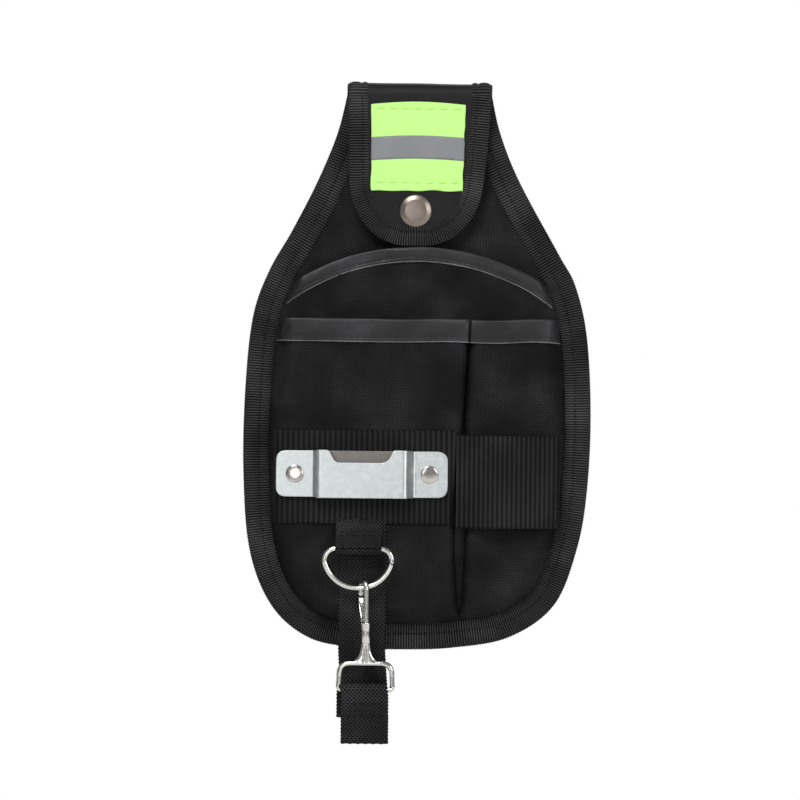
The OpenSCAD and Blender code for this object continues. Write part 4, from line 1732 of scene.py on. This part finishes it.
@dataclass
class TapeClip:
    """The bent steel bracket, the plate behind it and the two rivets."""

    sheet: float = 1.2
    bend: float = 1.3
    corner: float = 5.6
    notch: tuple[float, ...] = (-46.4, -43.2, -15.6, -12.4)
    notch_deep: float = 6.2
    shoulder: float = 0.45
    rise: tuple[float, float] = (-54.0, -52.4)
    fall: tuple[float, float] = (-6.0, -1.6)
    head: float = 4.8

    def bent(self, name: str, path: Array, outline: Array, step: float, thick: float) -> Piece:
        """Cut a sheet and bend it.

        Args:
            name: the piece's name.
            path: the bent line in X and Y.
            outline: the flat sheet's outline, along the line and in Z.
            step: size of the mesh's triangles.
            thick: the sheet's thickness.

        Returns:
            The bent sheet, with its edges broken.
        """
        flat, faces = fill_outline(outline, step)
        along = run_lengths(path)
        x, y = (np.interp(flat[:, 0], along, path[:, c]) for c in range(2))
        obj = mesh_piece(name, np.column_stack([x, y, flat[:, 1]]), faces, flat)
        solid = obj.modifiers.new("thickness", "SOLIDIFY")
        solid.thickness = thick * MM
        solid.offset = 0
        broken = obj.modifiers.new("broken edges", "BEVEL")
        broken.width = 0.2 * MM
        broken.segments = 2
        broken.limit_method = "ANGLE"
        broken.angle_limit = math.radians(50)
        apply_modifiers(obj)
        return obj

    def bends(self) -> Array:
        """Return the bracket's bent line, in X and Y."""
        clip = Box.of("clip_bracket")
        near, far = self.flange_y(), clip.low[1] + self.sheet / 2
        return rounded([(clip.low[0], near), (self.rise[0], near), (self.rise[1], far), (self.fall[0], far),
                        (self.fall[1], near), (clip.high[0], near)], self.bend, 7)

    def bracket(self) -> Piece:
        """Cut and bend the bracket, with the notch in its top edge."""
        clip, path = Box.of("clip_bracket"), self.bends()
        lo, hi = clip.low[2], clip.high[2]
        along = run_lengths(path)
        s = np.interp(self.notch, path[:, 0], along)
        end = along[-1]
        a, b = (np.interp(x, path[:, 0], along) for x in (self.rise[0] - 0.1, self.fall[1] + 0.1))
        g, r = self.shoulder, self.corner
        outline = rounded([
            (end / 2, lo - g), (b - 2, lo - g), (b, lo), (end, lo), (end, hi), (b, hi), (b - 2, hi + g),
            (s[3], hi + g), (s[2], hi - self.notch_deep), (s[1], hi - self.notch_deep), (s[0], hi + g),
            (a + 2, hi + g), (a, hi), (0, hi), (0, lo), (a, lo), (a + 2, lo - g), (end / 2 - 1, lo - g)],
            [0.5, 0.5, r, r, 0.5, 0.5, 1.2, 3.4, 3.4, 1.2, 0.5, 0.5, r, r, 0.5, 0.5], 8)
        piece = self.bent("tape_clip_bracket", path, outline, 0.6, self.sheet)
        return place(piece, Body.ROOT, STEEL, "clip_bracket")

    def flange_y(self) -> float:
        """Return the Y of the middle of the bracket's two riveted ends."""
        return Box.of("clip_back_plate").low[1] - self.sheet / 2

    def plate(self) -> Piece:
        """Cut the flat plate behind the bracket."""
        plate, clip = Box.of("clip_back_plate"), Box.of("clip_bracket")
        lo, hi, end = clip.low[2], clip.high[2], run_lengths(self.bends())[-1]
        outline = rounded([(end / 2, lo), (end, lo), (end, hi), (0, hi), (0, lo), (end / 2 - 1, lo)],
                          self.corner, 8)
        outline[:, 0] *= plate.size[0] / end
        straight = np.array([(plate.low[0], plate.mid[1]), (plate.high[0], plate.mid[1])])
        piece = self.bent("tape_clip_plate", straight, outline, 1.3, plate.size[1])
        return place(piece, Body.ROOT, PLATE, "clip_back_plate")

    def rivets(self) -> list[Piece]:
        """Turn the rivets' heads, a little askew, and their washers."""
        box, back = Box.of("clip_rivets"), Box.of("rivet_washers")
        r, seat = self.head, self.flange_y() - self.sheet / 2
        head = [(0, 0), (r, 0), (r, 0.55), (r - 0.15, 0.9), (r - 0.5, 1.15), (r - 1.1, 1.28), (1.5, 1.4),
                (0, 1.42)]
        washer = [(0, 0), (r, 0), (r, 0.4), (r - 0.25, 0.6), (1.2, 0.6), (0.9, 0.3), (0, 0.3)]
        heads, washers = [], []
        for k, (x, axis) in enumerate(((box.low[0] + r, (-0.06, -1, 0.03)),
                                       (box.high[0] - r, (0.09, -1, -0.07)))):
            heads.append(lathe(f"rivet_head_{k}", head, (x, seat, box.mid[2]), axis))
            washers.append(lathe(f"rivet_washer_{k}", washer, (x, back.low[1], box.mid[2]), (0, 1, 0), 40))
        return [place(join("clip_rivet_heads", heads), Body.ROOT, RIVET, "clip_rivets"),
                place(join("rivet_backs", washers), Body.ROOT, RIVET, "rivet_washers")]

    def build(self) -> list[Piece]:
        """Make the bracket, the plate, the rivets and their washers."""
        return [self.bracket(), self.plate()] + self.rivets()


# ---- flap


@dataclass
class Flap:
    """The coated flap with its neon patch, silver stripe and snap fastener."""

    patch: tuple[tuple[float, float], ...] = ((24, -5.1), (22.8, -50.9), (-25.7, -50.9), (-26.1, -5.1))
    patch_rows: tuple[float, float] = (-7.5, -46.7)
    pucker: float = 7.0
    stripe: tuple[float, float, float, float] = (-25.9, 23.5, -34.4, -22.2)
    cap: float = 8.8

    def patch_outline(self) -> Array:
        """Return the patch's outline, a little uneven as cut by hand."""
        corners = np.array(self.patch)
        top_right, low_right, low_left, top_left = corners
        t = np.linspace(0, 1, 60)[:, None]
        top = top_right + (top_left - top_right) * t
        top[:, 1] += 1.5 * np.sin(math.pi * t[:, 0])
        left = top_left + (low_left - top_left) * t
        left[:, 0] += 0.35 * waves(left[:, 1], 0 * left[:, 1], 71, 14)
        low = low_left + (low_right - low_left) * t
        low[:, 1] += 0.3 * waves(low[:, 0], 0 * low[:, 0], 72, 12)
        right = low_right + (top_right - low_right) * t
        right[:, 0] += 0.35 * waves(right[:, 1], 0 * right[:, 1], 73, 14)
        return np.vstack([part[:-1] for part in (top, left, low, right)])

    def build(self) -> list[Piece]:
        """Make the flap's pieces in its own plane, then lean them as it hangs."""
        made = []

        def panel_y(x: Array, z: Array) -> Array:
            """Return the Y of the flap's front."""
            return FLAP_FRONT - 0.18 * waves(x, z, 81, 40) * smoothstep(np.abs(z) / 12)

        def patch_y(x: Array, z: Array) -> Array:
            """Return the Y of the patch, drawn in by its stitches."""
            y = panel_y(x, z) - 0.75 - 0.12 * waves(x, z, 82, 13)
            for row in self.patch_rows:
                beat = 0.55 + 0.45 * np.cos(TAU * x / self.pucker)
                y = y + 0.62 * beat * np.exp(-(((z - row) / 0.7) ** 2))
            return y

        outline = closed(inset(FLAP_EDGE, 2.5))
        panel = sheet_piece("flap_cloth", outline, panel_y, 2.4)
        thicken(panel, FLAP_BACK - FLAP_FRONT - 0.1)
        made.append(place(lean(panel), Body.FLAP, COATED, "flap_panel"))
        patch = sheet_piece("neon_patch", self.patch_outline(), patch_y, 0.9)
        thicken(patch, 0.35)
        made.append(place(lean(patch), Body.FLAP, NEON, "reflective_patch"))
        self.patch_outline()
        x0, x1, z0, z1 = self.stripe
        t = np.linspace(0, 1, 30)
        bow = 1.1 * np.sin(math.pi * t) - 0.4
        ring = np.vstack([np.column_stack([x0 + (x1 - x0) * t, z0 + bow]),
                          np.column_stack([x1 + (x0 - x1) * t, z1 + bow])])
        stripe = sheet_piece("silver_stripe_tape", ring, lambda x, z: patch_y(x, z) - 0.22, 1.2)
        thicken(stripe, 0.18)
        made.append(place(lean(stripe), Body.FLAP, BEADS, "silver_stripe"))
        for k, row in enumerate(self.patch_rows):
            xs = np.linspace(-24.6, 22.4, 90)
            path = np.column_stack([xs, patch_y(xs, np.full(90, row)) - 0.02, np.full(90, row)])
            thread = stitches(f"patch_thread_{k}", path, each(FORWARDS, 90), 5.4, 1.6, 0.22)
            # The stitches wear the darker neon, painted shade of the puckers.
            made.append(place(lean(thread), Body.FLAP, SHADED_NEON_THREAD))
        return made + self.snap()

    def snap(self) -> list[Piece]:
        """Make the snap fastener's four metal pieces."""
        r = self.cap
        x, z = SNAP
        cap = lathe("snap_cap_dome", [
            (0, 0), (r - 0.4, 0), (r, 0.2), (r, 0.5), (r - 0.3, 0.9), (r - 0.8, 1.25), (r - 1.5, 1.55),
            (r - 2.1, 1.7), (r - 2.4, 1.85), (r - 2.8, 2.0), (r - 3.4, 2.1), (2.0, 2.2), (0, 2.2)],
            (x, FLAP_FRONT, z), (0, -1, 0), 96)
        socket = lathe("snap_socket_ring", [
            (0, 0), (6.2, 0), (6.2, 1.8), (5.8, 2.3), (4.1, 2.3), (3.5, 1.8), (3.5, 0.5), (0, 0.5)],
            (x, FLAP_BACK, z), (0, 1, 0))
        stud = lathe("snap_stud_post", [
            (0, 0), (5.5, 0), (5.5, 0.5), (5.15, 0.8), (3.0, 0.8), (2.7, 1.15), (2.7, 4.4), (3.0, 4.9),
            (2.95, 5.4), (2.6, 5.75), (0, 5.8)], (x, PANEL_Y, z), (0, -1, 0), 48)
        washer = lathe("snap_post_washer", [
            (0, 0), (5.5, 0), (5.5, 0.4), (5.1, 0.7), (1.8, 0.7), (1.3, 0.4), (0, 0.4)],
            (x, BACK_Y, z), (0, 1, 0), 48)
        return [place(lean(cap), Body.FLAP, CAP, "snap_cap"),
                place(lean(socket), Body.FLAP, NICKEL, "snap_socket"),
                place(stud, Body.ROOT, NICKEL, "snap_stud"),
                place(washer, Body.ROOT, NICKEL, "snap_post")]


# ---- strap, ring and hook


@dataclass
class RingAndHook:
    """The D-ring, the snap hook that hangs from it, and the hook's spring leaf."""

    wire: float = 1.5
    shoulder_r: float = 6.0
    shoulder_x: float = 11.8
    low_r: float = 18.311
    drop: float = 20.8
    turn: float = math.radians(19)
    nose_r: float = 4.5
    bar: float = 1.6
    nose_end: float = 3.6
    eye: float = 1.3
    eye_tall: float = 14.0
    collar_low: float = -290.5
    collar_top: float = -279.7
    flare: tuple[tuple[float, float], ...] = (
        (-304.0, 12.0), (-301.2, 9.0), (-300.2, 6.6), (-299.0, 5.0), (-297.2, 3.7), (-294.5, 2.8),
        (-290.5, 2.2), (-284.0, 1.9))
    leaf_wide: float = 2.8
    leaf_thick: float = 0.8

    def joint(self, name: str) -> Array:
        """Return where a joint's axis passes.

        Args:
            name: the joint's name.

        Returns:
            A point on its axis, in millimetres.
        """
        for row in frame["joints"]:
            if row["name"] == name:
                return np.array(row["pos_m"]) / MM
        raise KeyError(name)

    def on_nose(self, path: Array) -> Array:
        """Turn points from the nose's own plane into the pouch's frame.

        Args:
            path: points in that plane: distance from the nose's middle, and Z.

        Returns:
            The points, in millimetres.
        """
        x, y, _ = self.joint("hook_swing")
        s, z = path[:, 0], path[:, 1]
        return np.column_stack([x - math.sin(self.turn) * s, y + math.cos(self.turn) * s, z])

    def ring(self) -> Piece:
        """Bend the D-ring."""
        x, y, z = self.joint("dring_swing")
        meet = abs(math.degrees(math.atan2(self.low_r - self.drop + self.shoulder_r, self.shoulder_x)))
        flat = np.vstack([
            arc((self.shoulder_x, -self.shoulder_r), self.shoulder_r, -meet, 90, 20),
            arc((-self.shoulder_x, -self.shoulder_r), self.shoulder_r, 90, 180 + meet, 20),
            arc((0, self.low_r - self.drop), self.low_r, 180 + meet, 360 - meet, 60)[1:-1]])
        flat = respace(np.vstack([flat, flat[:1]]), 201)[:-1]
        path = np.column_stack([x + flat[:, 0], np.full(len(flat), y), z + flat[:, 1]])
        return place(tube("d_ring_wire", path, self.wire, (0, 1, 0), loop=True, sides=24), Body.DRING,
                     NICKEL, "dring")

    def shank(self) -> Array:
        """Return a point on the middle line of the shank."""
        return self.on_nose(np.array([(-self.nose_r, 0.0)]))[0]

    def nose(self, top: float, tip: float, high: float) -> Piece:
        """Bend the nose and the shank under it.

        Args:
            top: Z of the middle of the nose's arc.
            tip: Z of the nose's end.
            high: Z of the eye's top bar.

        Returns:
            The bent bar.
        """
        line = np.vstack([[(self.nose_r, tip)], arc((0, top), self.nose_r, 0, 180, 30),
                          [(-self.nose_r, z) for z in np.linspace(top - 4, high + 1, 30)]])
        line = respace(line, 110)
        s = run_lengths(line)
        radius = self.bar * (0.55 + 0.45 * swell(s / 1.6)) * (1 - 0.06 * smoothstep((s - 12) / 8))
        plane = (math.cos(self.turn), math.sin(self.turn), 0)
        return tube("hook_nose", self.on_nose(line), radius, plane)

    def flared(self, high: float) -> Piece:
        """Widen the shank down to the eye's top bar.

        Args:
            high: Z of that bar.

        Returns:
            The flared body, hollowed a little in the middle.
        """
        rows, sides = 36, 40
        shank = self.shank()
        zs = np.linspace(self.collar_low + 6, high, rows)
        t = np.linspace(0, 1, rows)[:, None]
        half = np.interp(zs, *np.array(self.flare).T)
        a = np.arange(sides) * TAU / sides
        ring_x = np.sign(np.cos(a)) * np.abs(np.cos(a)) ** 0.8
        ring_y = np.sign(np.sin(a)) * np.abs(np.sin(a)) ** 0.7
        x = shank[0] + half[:, None] * ring_x
        hollow = 0.5 * smoothstep((t - 0.3) / 0.3) * np.exp(-((x - shank[0]) ** 2))
        y = shank[1] + (1.75 - 0.35 * t - hollow) * ring_y
        pts = np.stack([x, y, np.broadcast_to(zs[:, None], x.shape)], axis=-1)
        last = (rows - 1) * sides
        caps = [tuple(range(sides)), tuple(last + j for j in range(sides))[::-1]]
        return mesh_piece("hook_flare", pts.reshape(-1, 3), grid_faces(rows, sides, True, True) + caps,
                          np.zeros((rows * sides, 2)))

    def eye_bar(self, low: float, high: float) -> Piece:
        """Bend the square eye.

        Args:
            low: Z of its lower bar.
            high: Z of its top bar.

        Returns:
            The closed eye.
        """
        shank = self.shank()
        w = Box.of("hook_body").size[0] / 2 - self.eye
        line = rounded([(0, high), (w, high), (w, low), (-w, low), (-w, high), (-0.1, high)],
                       [7.0, 2.4, 2.4, 7.0], 10)
        line = respace(np.vstack([line, line[:1]]), 181)[:-1]
        pull = 0.5 * np.sin(np.clip((high - line[:, 1]) / (high - low), 0, 1) * math.pi)
        line[:, 0] -= np.sign(line[:, 0]) * pull
        path = np.column_stack([shank[0] + line[:, 0], np.full(len(line), shank[1]), line[:, 1]])
        thick = self.eye * (1 + 0.14 * smoothstep((line[:, 1] - low - 6) / 8))
        return tube("hook_eye", path, thick, (0, 1, 0), loop=True)

    def hook(self) -> Piece:
        """Cast the hook: nose, shank, flared body and eye in one piece."""
        box = Box.of("hook_body")
        top = box.high[2] - self.nose_r - self.bar
        low = box.low[2] + self.eye
        high = low + self.eye_tall
        body = join("snap_hook_casting", [self.nose(top, top - self.nose_end, high), self.flared(high),
                                          self.eye_bar(low, high)])
        fuse(body, 0.17, 16)
        return place(body, Body.HOOK, NICKEL, "hook_body")

    def strip(self, name: str, line: Sequence[Sequence[float]]) -> Piece:
        """Make a stretch of the spring leaf.

        Args:
            name: its name.
            line: its middle line, in the nose's plane.

        Returns:
            The stretch.
        """
        path = self.on_nose(respace(catmull(line, 8), 40))
        t = tangents(path)
        out = each((math.cos(self.turn), math.sin(self.turn), 0), len(path))
        return sweep(name, Track(path, out, np.cross(t, out)),
                     webbing_profile(self.leaf_wide, self.leaf_thick, 0.4))

    def collar(self) -> Piece:
        """Turn the collar and fix the leaf's foot to its side."""
        shank = self.shank()
        tall = self.collar_top - self.collar_low
        ring = lathe("collar_ring", [
            (1.5, 0), (2.1, 0.0), (2.22, 0.3), (2.1, tall * 0.5), (2.0, tall - 1.1), (2.15, tall - 0.9),
            (2.15, tall - 0.3), (1.95, tall), (1.5, tall)],
            (shank[0], shank[1], self.collar_low), (0, 0, 1), 48)
        foot_s = 2.6 - self.nose_r + self.leaf_thick / 2 - 0.1
        foot = self.strip("leaf_foot", [(foot_s, self.collar_low + 1.5), (foot_s, -284.5),
                                        (foot_s + 1.25, -280.2)])
        pin = lathe("leaf_pin", [(0, 0), (0.9, 0), (0.9, 0.3), (0.6, 0.55), (0, 0.65)],
                    self.on_nose(np.array([(foot_s + 0.4, -287.0)]))[0],
                    (-math.sin(self.turn), math.cos(self.turn), 0), 24)
        return place(join("hook_collar_and_foot", [ring, foot, pin]), Body.HOOK, NICKEL, "hook_collar")

    def gate(self) -> Piece:
        """Make the leaf's free end, with its dimple."""
        box = Box.of("hook_body")
        tip = box.high[2] - self.nose_r - self.bar - self.nose_end - 0.9
        leaf = self.strip("leaf_end", [(-0.1, -279.4), (0.6, -277), (self.nose_r - 0.8, -270.5),
                                       (self.nose_r, tip)])
        spot = self.on_nose(np.array([(self.nose_r - 1.15, -270.9)]))[0]
        dimple = lathe("leaf_dimple", [(0, 0), (0.5, 0), (0.45, 0.12), (0.25, 0.2), (0, 0.22)], spot,
                       (math.sin(self.turn), -math.cos(self.turn), 0), 24)
        return place(join("hook_spring_leaf", [leaf, dimple]), Body.GATE, NICKEL, "gate_leaf")

    def build(self) -> list[Piece]:
        """Make every metal piece that swings."""
        return [self.ring(), self.hook(), self.collar(), self.gate()]


@dataclass
class Straps:
    """The D-ring's tab and the strap that runs to the hook's eye."""

    wide: float = 25.0
    thick: float = 1.5
    bump_long: float = 3.7
    bump_wide: float = 2.05
    bump: float = 0.26
    selvage: float = 0.2
    scallop: float = 1.85
    fold_r: float = 3.25
    eye_gap: float = 0.35
    tab_front: tuple[tuple[float, float], ...] = ((-13.6, -234.6), (-11.6, -231.6), (-9.7, -229.0))

    def weave(self, along: Array, across: Array) -> Array:
        """Weave the strap's staggered oval bumps.

        Args:
            along: distances along the strap.
            across: distances from its middle.

        Returns:
            The bumps' height.
        """
        column = np.floor((across + self.wide) / self.bump_wide)
        beat = np.sin(TAU * along / self.bump_long + math.pi * column)
        ridge = np.abs(np.sin(math.pi * (across + self.wide) / self.bump_wide)) ** 0.7
        edge = smoothstep((np.abs(across) - self.wide / 2 + 0.8) / 0.4)
        face = self.bump * ridge * (0.35 + 0.65 * beat)
        return face * (1 - edge) + self.selvage * np.sin(TAU * along / self.scallop) * edge

    def band(self, name: str, path: Array, x: float | Array, body: Body | None, wide: float,
             thick: float, nodes: Sequence[str]) -> Piece:
        """Lay a stretch of webbing.

        Args:
            name: the piece's name.
            path: its middle line in Y and Z.
            x: where its middle lies across.
            body: what it rides on, or None.
            wide: its width.
            thick: its thickness.
            nodes: CAD nodes that it stands for.

        Returns:
            The webbing.
        """
        track = Track.upright(path, x)
        obj = sweep(name, track, webbing_profile(wide, thick, 0.5), self.weave)
        return place(obj, body, STRAP, *nodes)

    def tab(self, tab: Box, ring_y: float, ring_z: float) -> Piece:
        """Fold the tab round the D-ring.

        Args:
            tab: its box.
            ring_y: Y of the D-ring's bar.
            ring_z: Z of that bar.

        Returns:
            The tab.
        """
        line = np.vstack([[(-8.6, -224.5), (-8.9, -228.5), (-10.4, -232.5)],
                          arc((ring_y, ring_z), 2.5, 20, -200, 24), self.tab_front, [(-8.8, -226.0)]])
        line = respace(catmull(line, 3), 130)
        return self.band("d_ring_tab_webbing", line, tab.mid[0], Body.ROOT, tab.size[0], 1.3, ["dring_tab"])

    def build(self) -> list[Piece]:
        """Make the tab and both stretches of the strap."""
        tab, upper, loop = Box.of("dring_tab"), Box.of("strap_upper"), Box.of("strap_loop")
        ring = RingAndHook()
        hook_y = ring.joint("strap_swing")[1]
        made = [self.tab(tab, *ring.joint("dring_swing")[1:])]
        fold_r = self.fold_r
        fold_y, fold_z = hook_y + 5.4, loop.low[2] + fold_r + self.thick / 2
        y0 = upper.mid[1]
        run = catmull([(y0 + 0.5, -225.5), (y0, -230), (y0, -262), (y0, -285), (y0 - 0.1, -296),
                       (y0 - 0.9, -312), (hook_y + 5.4 + 3.65, -330)], 20)
        run = respace(run, 210)
        shift = smoothstep((-290 - run[:, 1]) / 38)
        x = upper.mid[0] + (loop.mid[0] - upper.mid[0]) * shift
        back = self.band("strap_back_run", run, x, None, self.wide, self.thick, ["strap_upper"])
        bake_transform(back)
        eye_z = Box.of("hook_body").low[2] + ring.eye
        wrap = ring.eye + self.eye_gap + self.thick / 2
        line = np.vstack([[run[-1]], arc((fold_y, fold_z), fold_r, 0, -180, 20),
                          arc((hook_y, eye_z), wrap, 180, 0, 24),
                          [(hook_y + wrap, -322), (hook_y + wrap, -330)]])
        line = respace(line, 210)
        s = run_lengths(line)
        x = loop.mid[0] - 2.4 * smoothstep((s - s[-1] + 26) / 14)
        bight = self.band("strap_bight", line, x, Body.STRAP, self.wide, self.thick, ["strap_loop"])

        def bight_y(z: Array) -> Array:
            """Return the Y of the thread on the strap's front run."""
            front = np.interp(z, [fold_z, eye_z], [fold_y - fold_r, hook_y - wrap])
            return front - self.thick / 2 - 0.25

        def tab_y(z: Array) -> Array:
            """Return the Y of the thread on the tab."""
            y, at = np.array(self.tab_front).T
            return np.interp(z, at, y) - 0.8

        made += [back, bight,
                 self.seam("strap_seam", (loop.low[0] + 2.4, loop.high[0] - 2.4), (-329, -322.5), bight_y,
                           Body.STRAP),
                 self.seam("tab_seam", (tab.low[0] + 2, tab.high[0] - 2), (-234.2, -232.2), tab_y,
                           Body.ROOT)]
        return made

    def seam(self, name: str, xs: tuple[float, float], zs: tuple[float, float],
             depth: Callable[[Array], Array], body: Body) -> Piece:
        """Sew rows of thread across a strap.

        Args:
            name: the seam's name.
            xs: where the rows start and end.
            zs: the rows' heights.
            depth: Y of the thread from Z.
            body: what it rides on.

        Returns:
            The rows as one piece.
        """
        rows = []
        for k, z in enumerate(zs):
            x = np.linspace(xs[0], xs[1], 50)
            path = np.column_stack([x, depth(np.full(50, z)), np.full(50, z)])
            rows.append(stitches(f"{name}_{k}", path, each(FORWARDS, 50), 2.2, 0.8, 0.3))
        return place(join(name, rows), body, THREAD)


# ---- studio


@dataclass
class Studio:
    """The floor, the lights, the white surround and the camera."""

    aim: tuple[float, float, float] = (-0.0092, 0.0, -0.1622)
    away: float = 2.3644
    lens: float = 200.0
    roll: float = math.radians(0.6)
    floor_z: float = -0.42

    def light(self, name: str, spot: Sequence[float], size: float, watts: float) -> None:
        """Hang one soft light that looks at the pouch.

        Args:
            name: its name.
            spot: where it hangs.
            size: its diameter.
            watts: its power.
        """
        data = bpy.data.lights.new(name, "AREA")
        data.shape = "DISK"
        data.size = size
        data.energy = watts
        obj = bpy.data.objects.new(name, data)
        obj.location = spot
        obj.rotation_euler = (Vector(self.aim) - Vector(spot)).to_track_quat("-Z", "Y").to_euler()
        obj.visible_camera = False
        bpy.context.scene.collection.objects.link(obj)

    def floor(self) -> Piece:
        """Lay a plain pale floor below the pouch."""
        xs, ys = np.linspace(-900, 900, 24), np.linspace(-1000, 200, 16)
        x, y = np.meshgrid(xs, ys)
        pts = np.column_stack([x.ravel(), y.ravel(), np.full(x.size, self.floor_z / MM)])
        obj = mesh_piece("studio_floor", pts, grid_faces(16, 24), pts[:, :2])
        made, _, shader = start_material("studio_floor")
        preset(shader, {"Base Color": (0.86, 0.86, 0.86, 1), "Roughness": 0.85})
        obj.data.materials.append(made)
        return obj

    def surround(self) -> None:
        """Surround the pouch with white, dimmer where it only lights the scene."""
        world = bpy.data.worlds.new("studio")
        world.use_nodes = True
        n = NodeSheet(world.node_tree)
        world.node_tree.nodes.clear()
        path = n.add("ShaderNodeLightPath")
        seen, glow = n.add("ShaderNodeBackground"), n.add("ShaderNodeBackground")
        seen.inputs["Color"].default_value = (1, 1, 1, 1)
        preset(glow, {"Color": (0.93, 0.96, 1, 1), "Strength": 0.25})
        mix, end = n.add("ShaderNodeMixShader"), n.add("ShaderNodeOutputWorld")
        n.link(path.outputs["Is Camera Ray"], mix.inputs["Fac"])
        n.link(glow.outputs[0], mix.inputs[1])
        n.link(seen.outputs[0], mix.inputs[2])
        n.link(mix.outputs[0], end.inputs["Surface"])
        bpy.context.scene.world = world

    def camera(self) -> None:
        """Set the camera straight in front, turned a little about its own axis."""
        data = bpy.data.cameras.new("camera")
        data.lens = self.lens
        data.sensor_width = 36
        obj = bpy.data.objects.new("camera", data)
        spot = Vector(self.aim) - Vector((0, self.away, 0))
        turn = Matrix.Rotation(math.pi / 2, 4, "X") @ Matrix.Rotation(self.roll, 4, "Z")
        obj.matrix_world = Matrix.Translation(spot) @ turn
        bpy.context.scene.collection.objects.link(obj)
        bpy.context.scene.camera = obj

    def build(self) -> None:
        """Set up the studio."""
        scene = bpy.context.scene
        scene.view_settings.view_transform = "Standard"
        scene.view_settings.look = "None"
        self.camera()
        self.surround()
        self.floor()
        self.light("key", (-0.35, -1.1, 0.95), 0.6, 15)
        self.light("fill", (0.9, -1.0, 0.1), 0.6, 5)
        self.light("front", (-0.25, -1.6, -0.1), 0.5, 2)
        self.light("back", (0.3, 1.0, 0.7), 0.8, 9)


def main() -> None:
    """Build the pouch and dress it."""
    logging.basicConfig(level=logging.INFO, format="%(message)s")
    Studio().build()
    for part in (BackPanel(), Binding(), TopFold(), Pockets(), Bands(), TapeClip(), Flap(), RingAndHook(),
                 Straps()):
        pieces = part.build()
        LOG.info("%s: %d pieces", type(part).__name__, len(pieces))
    dress_all()


if __name__ == "__main__":
    main()
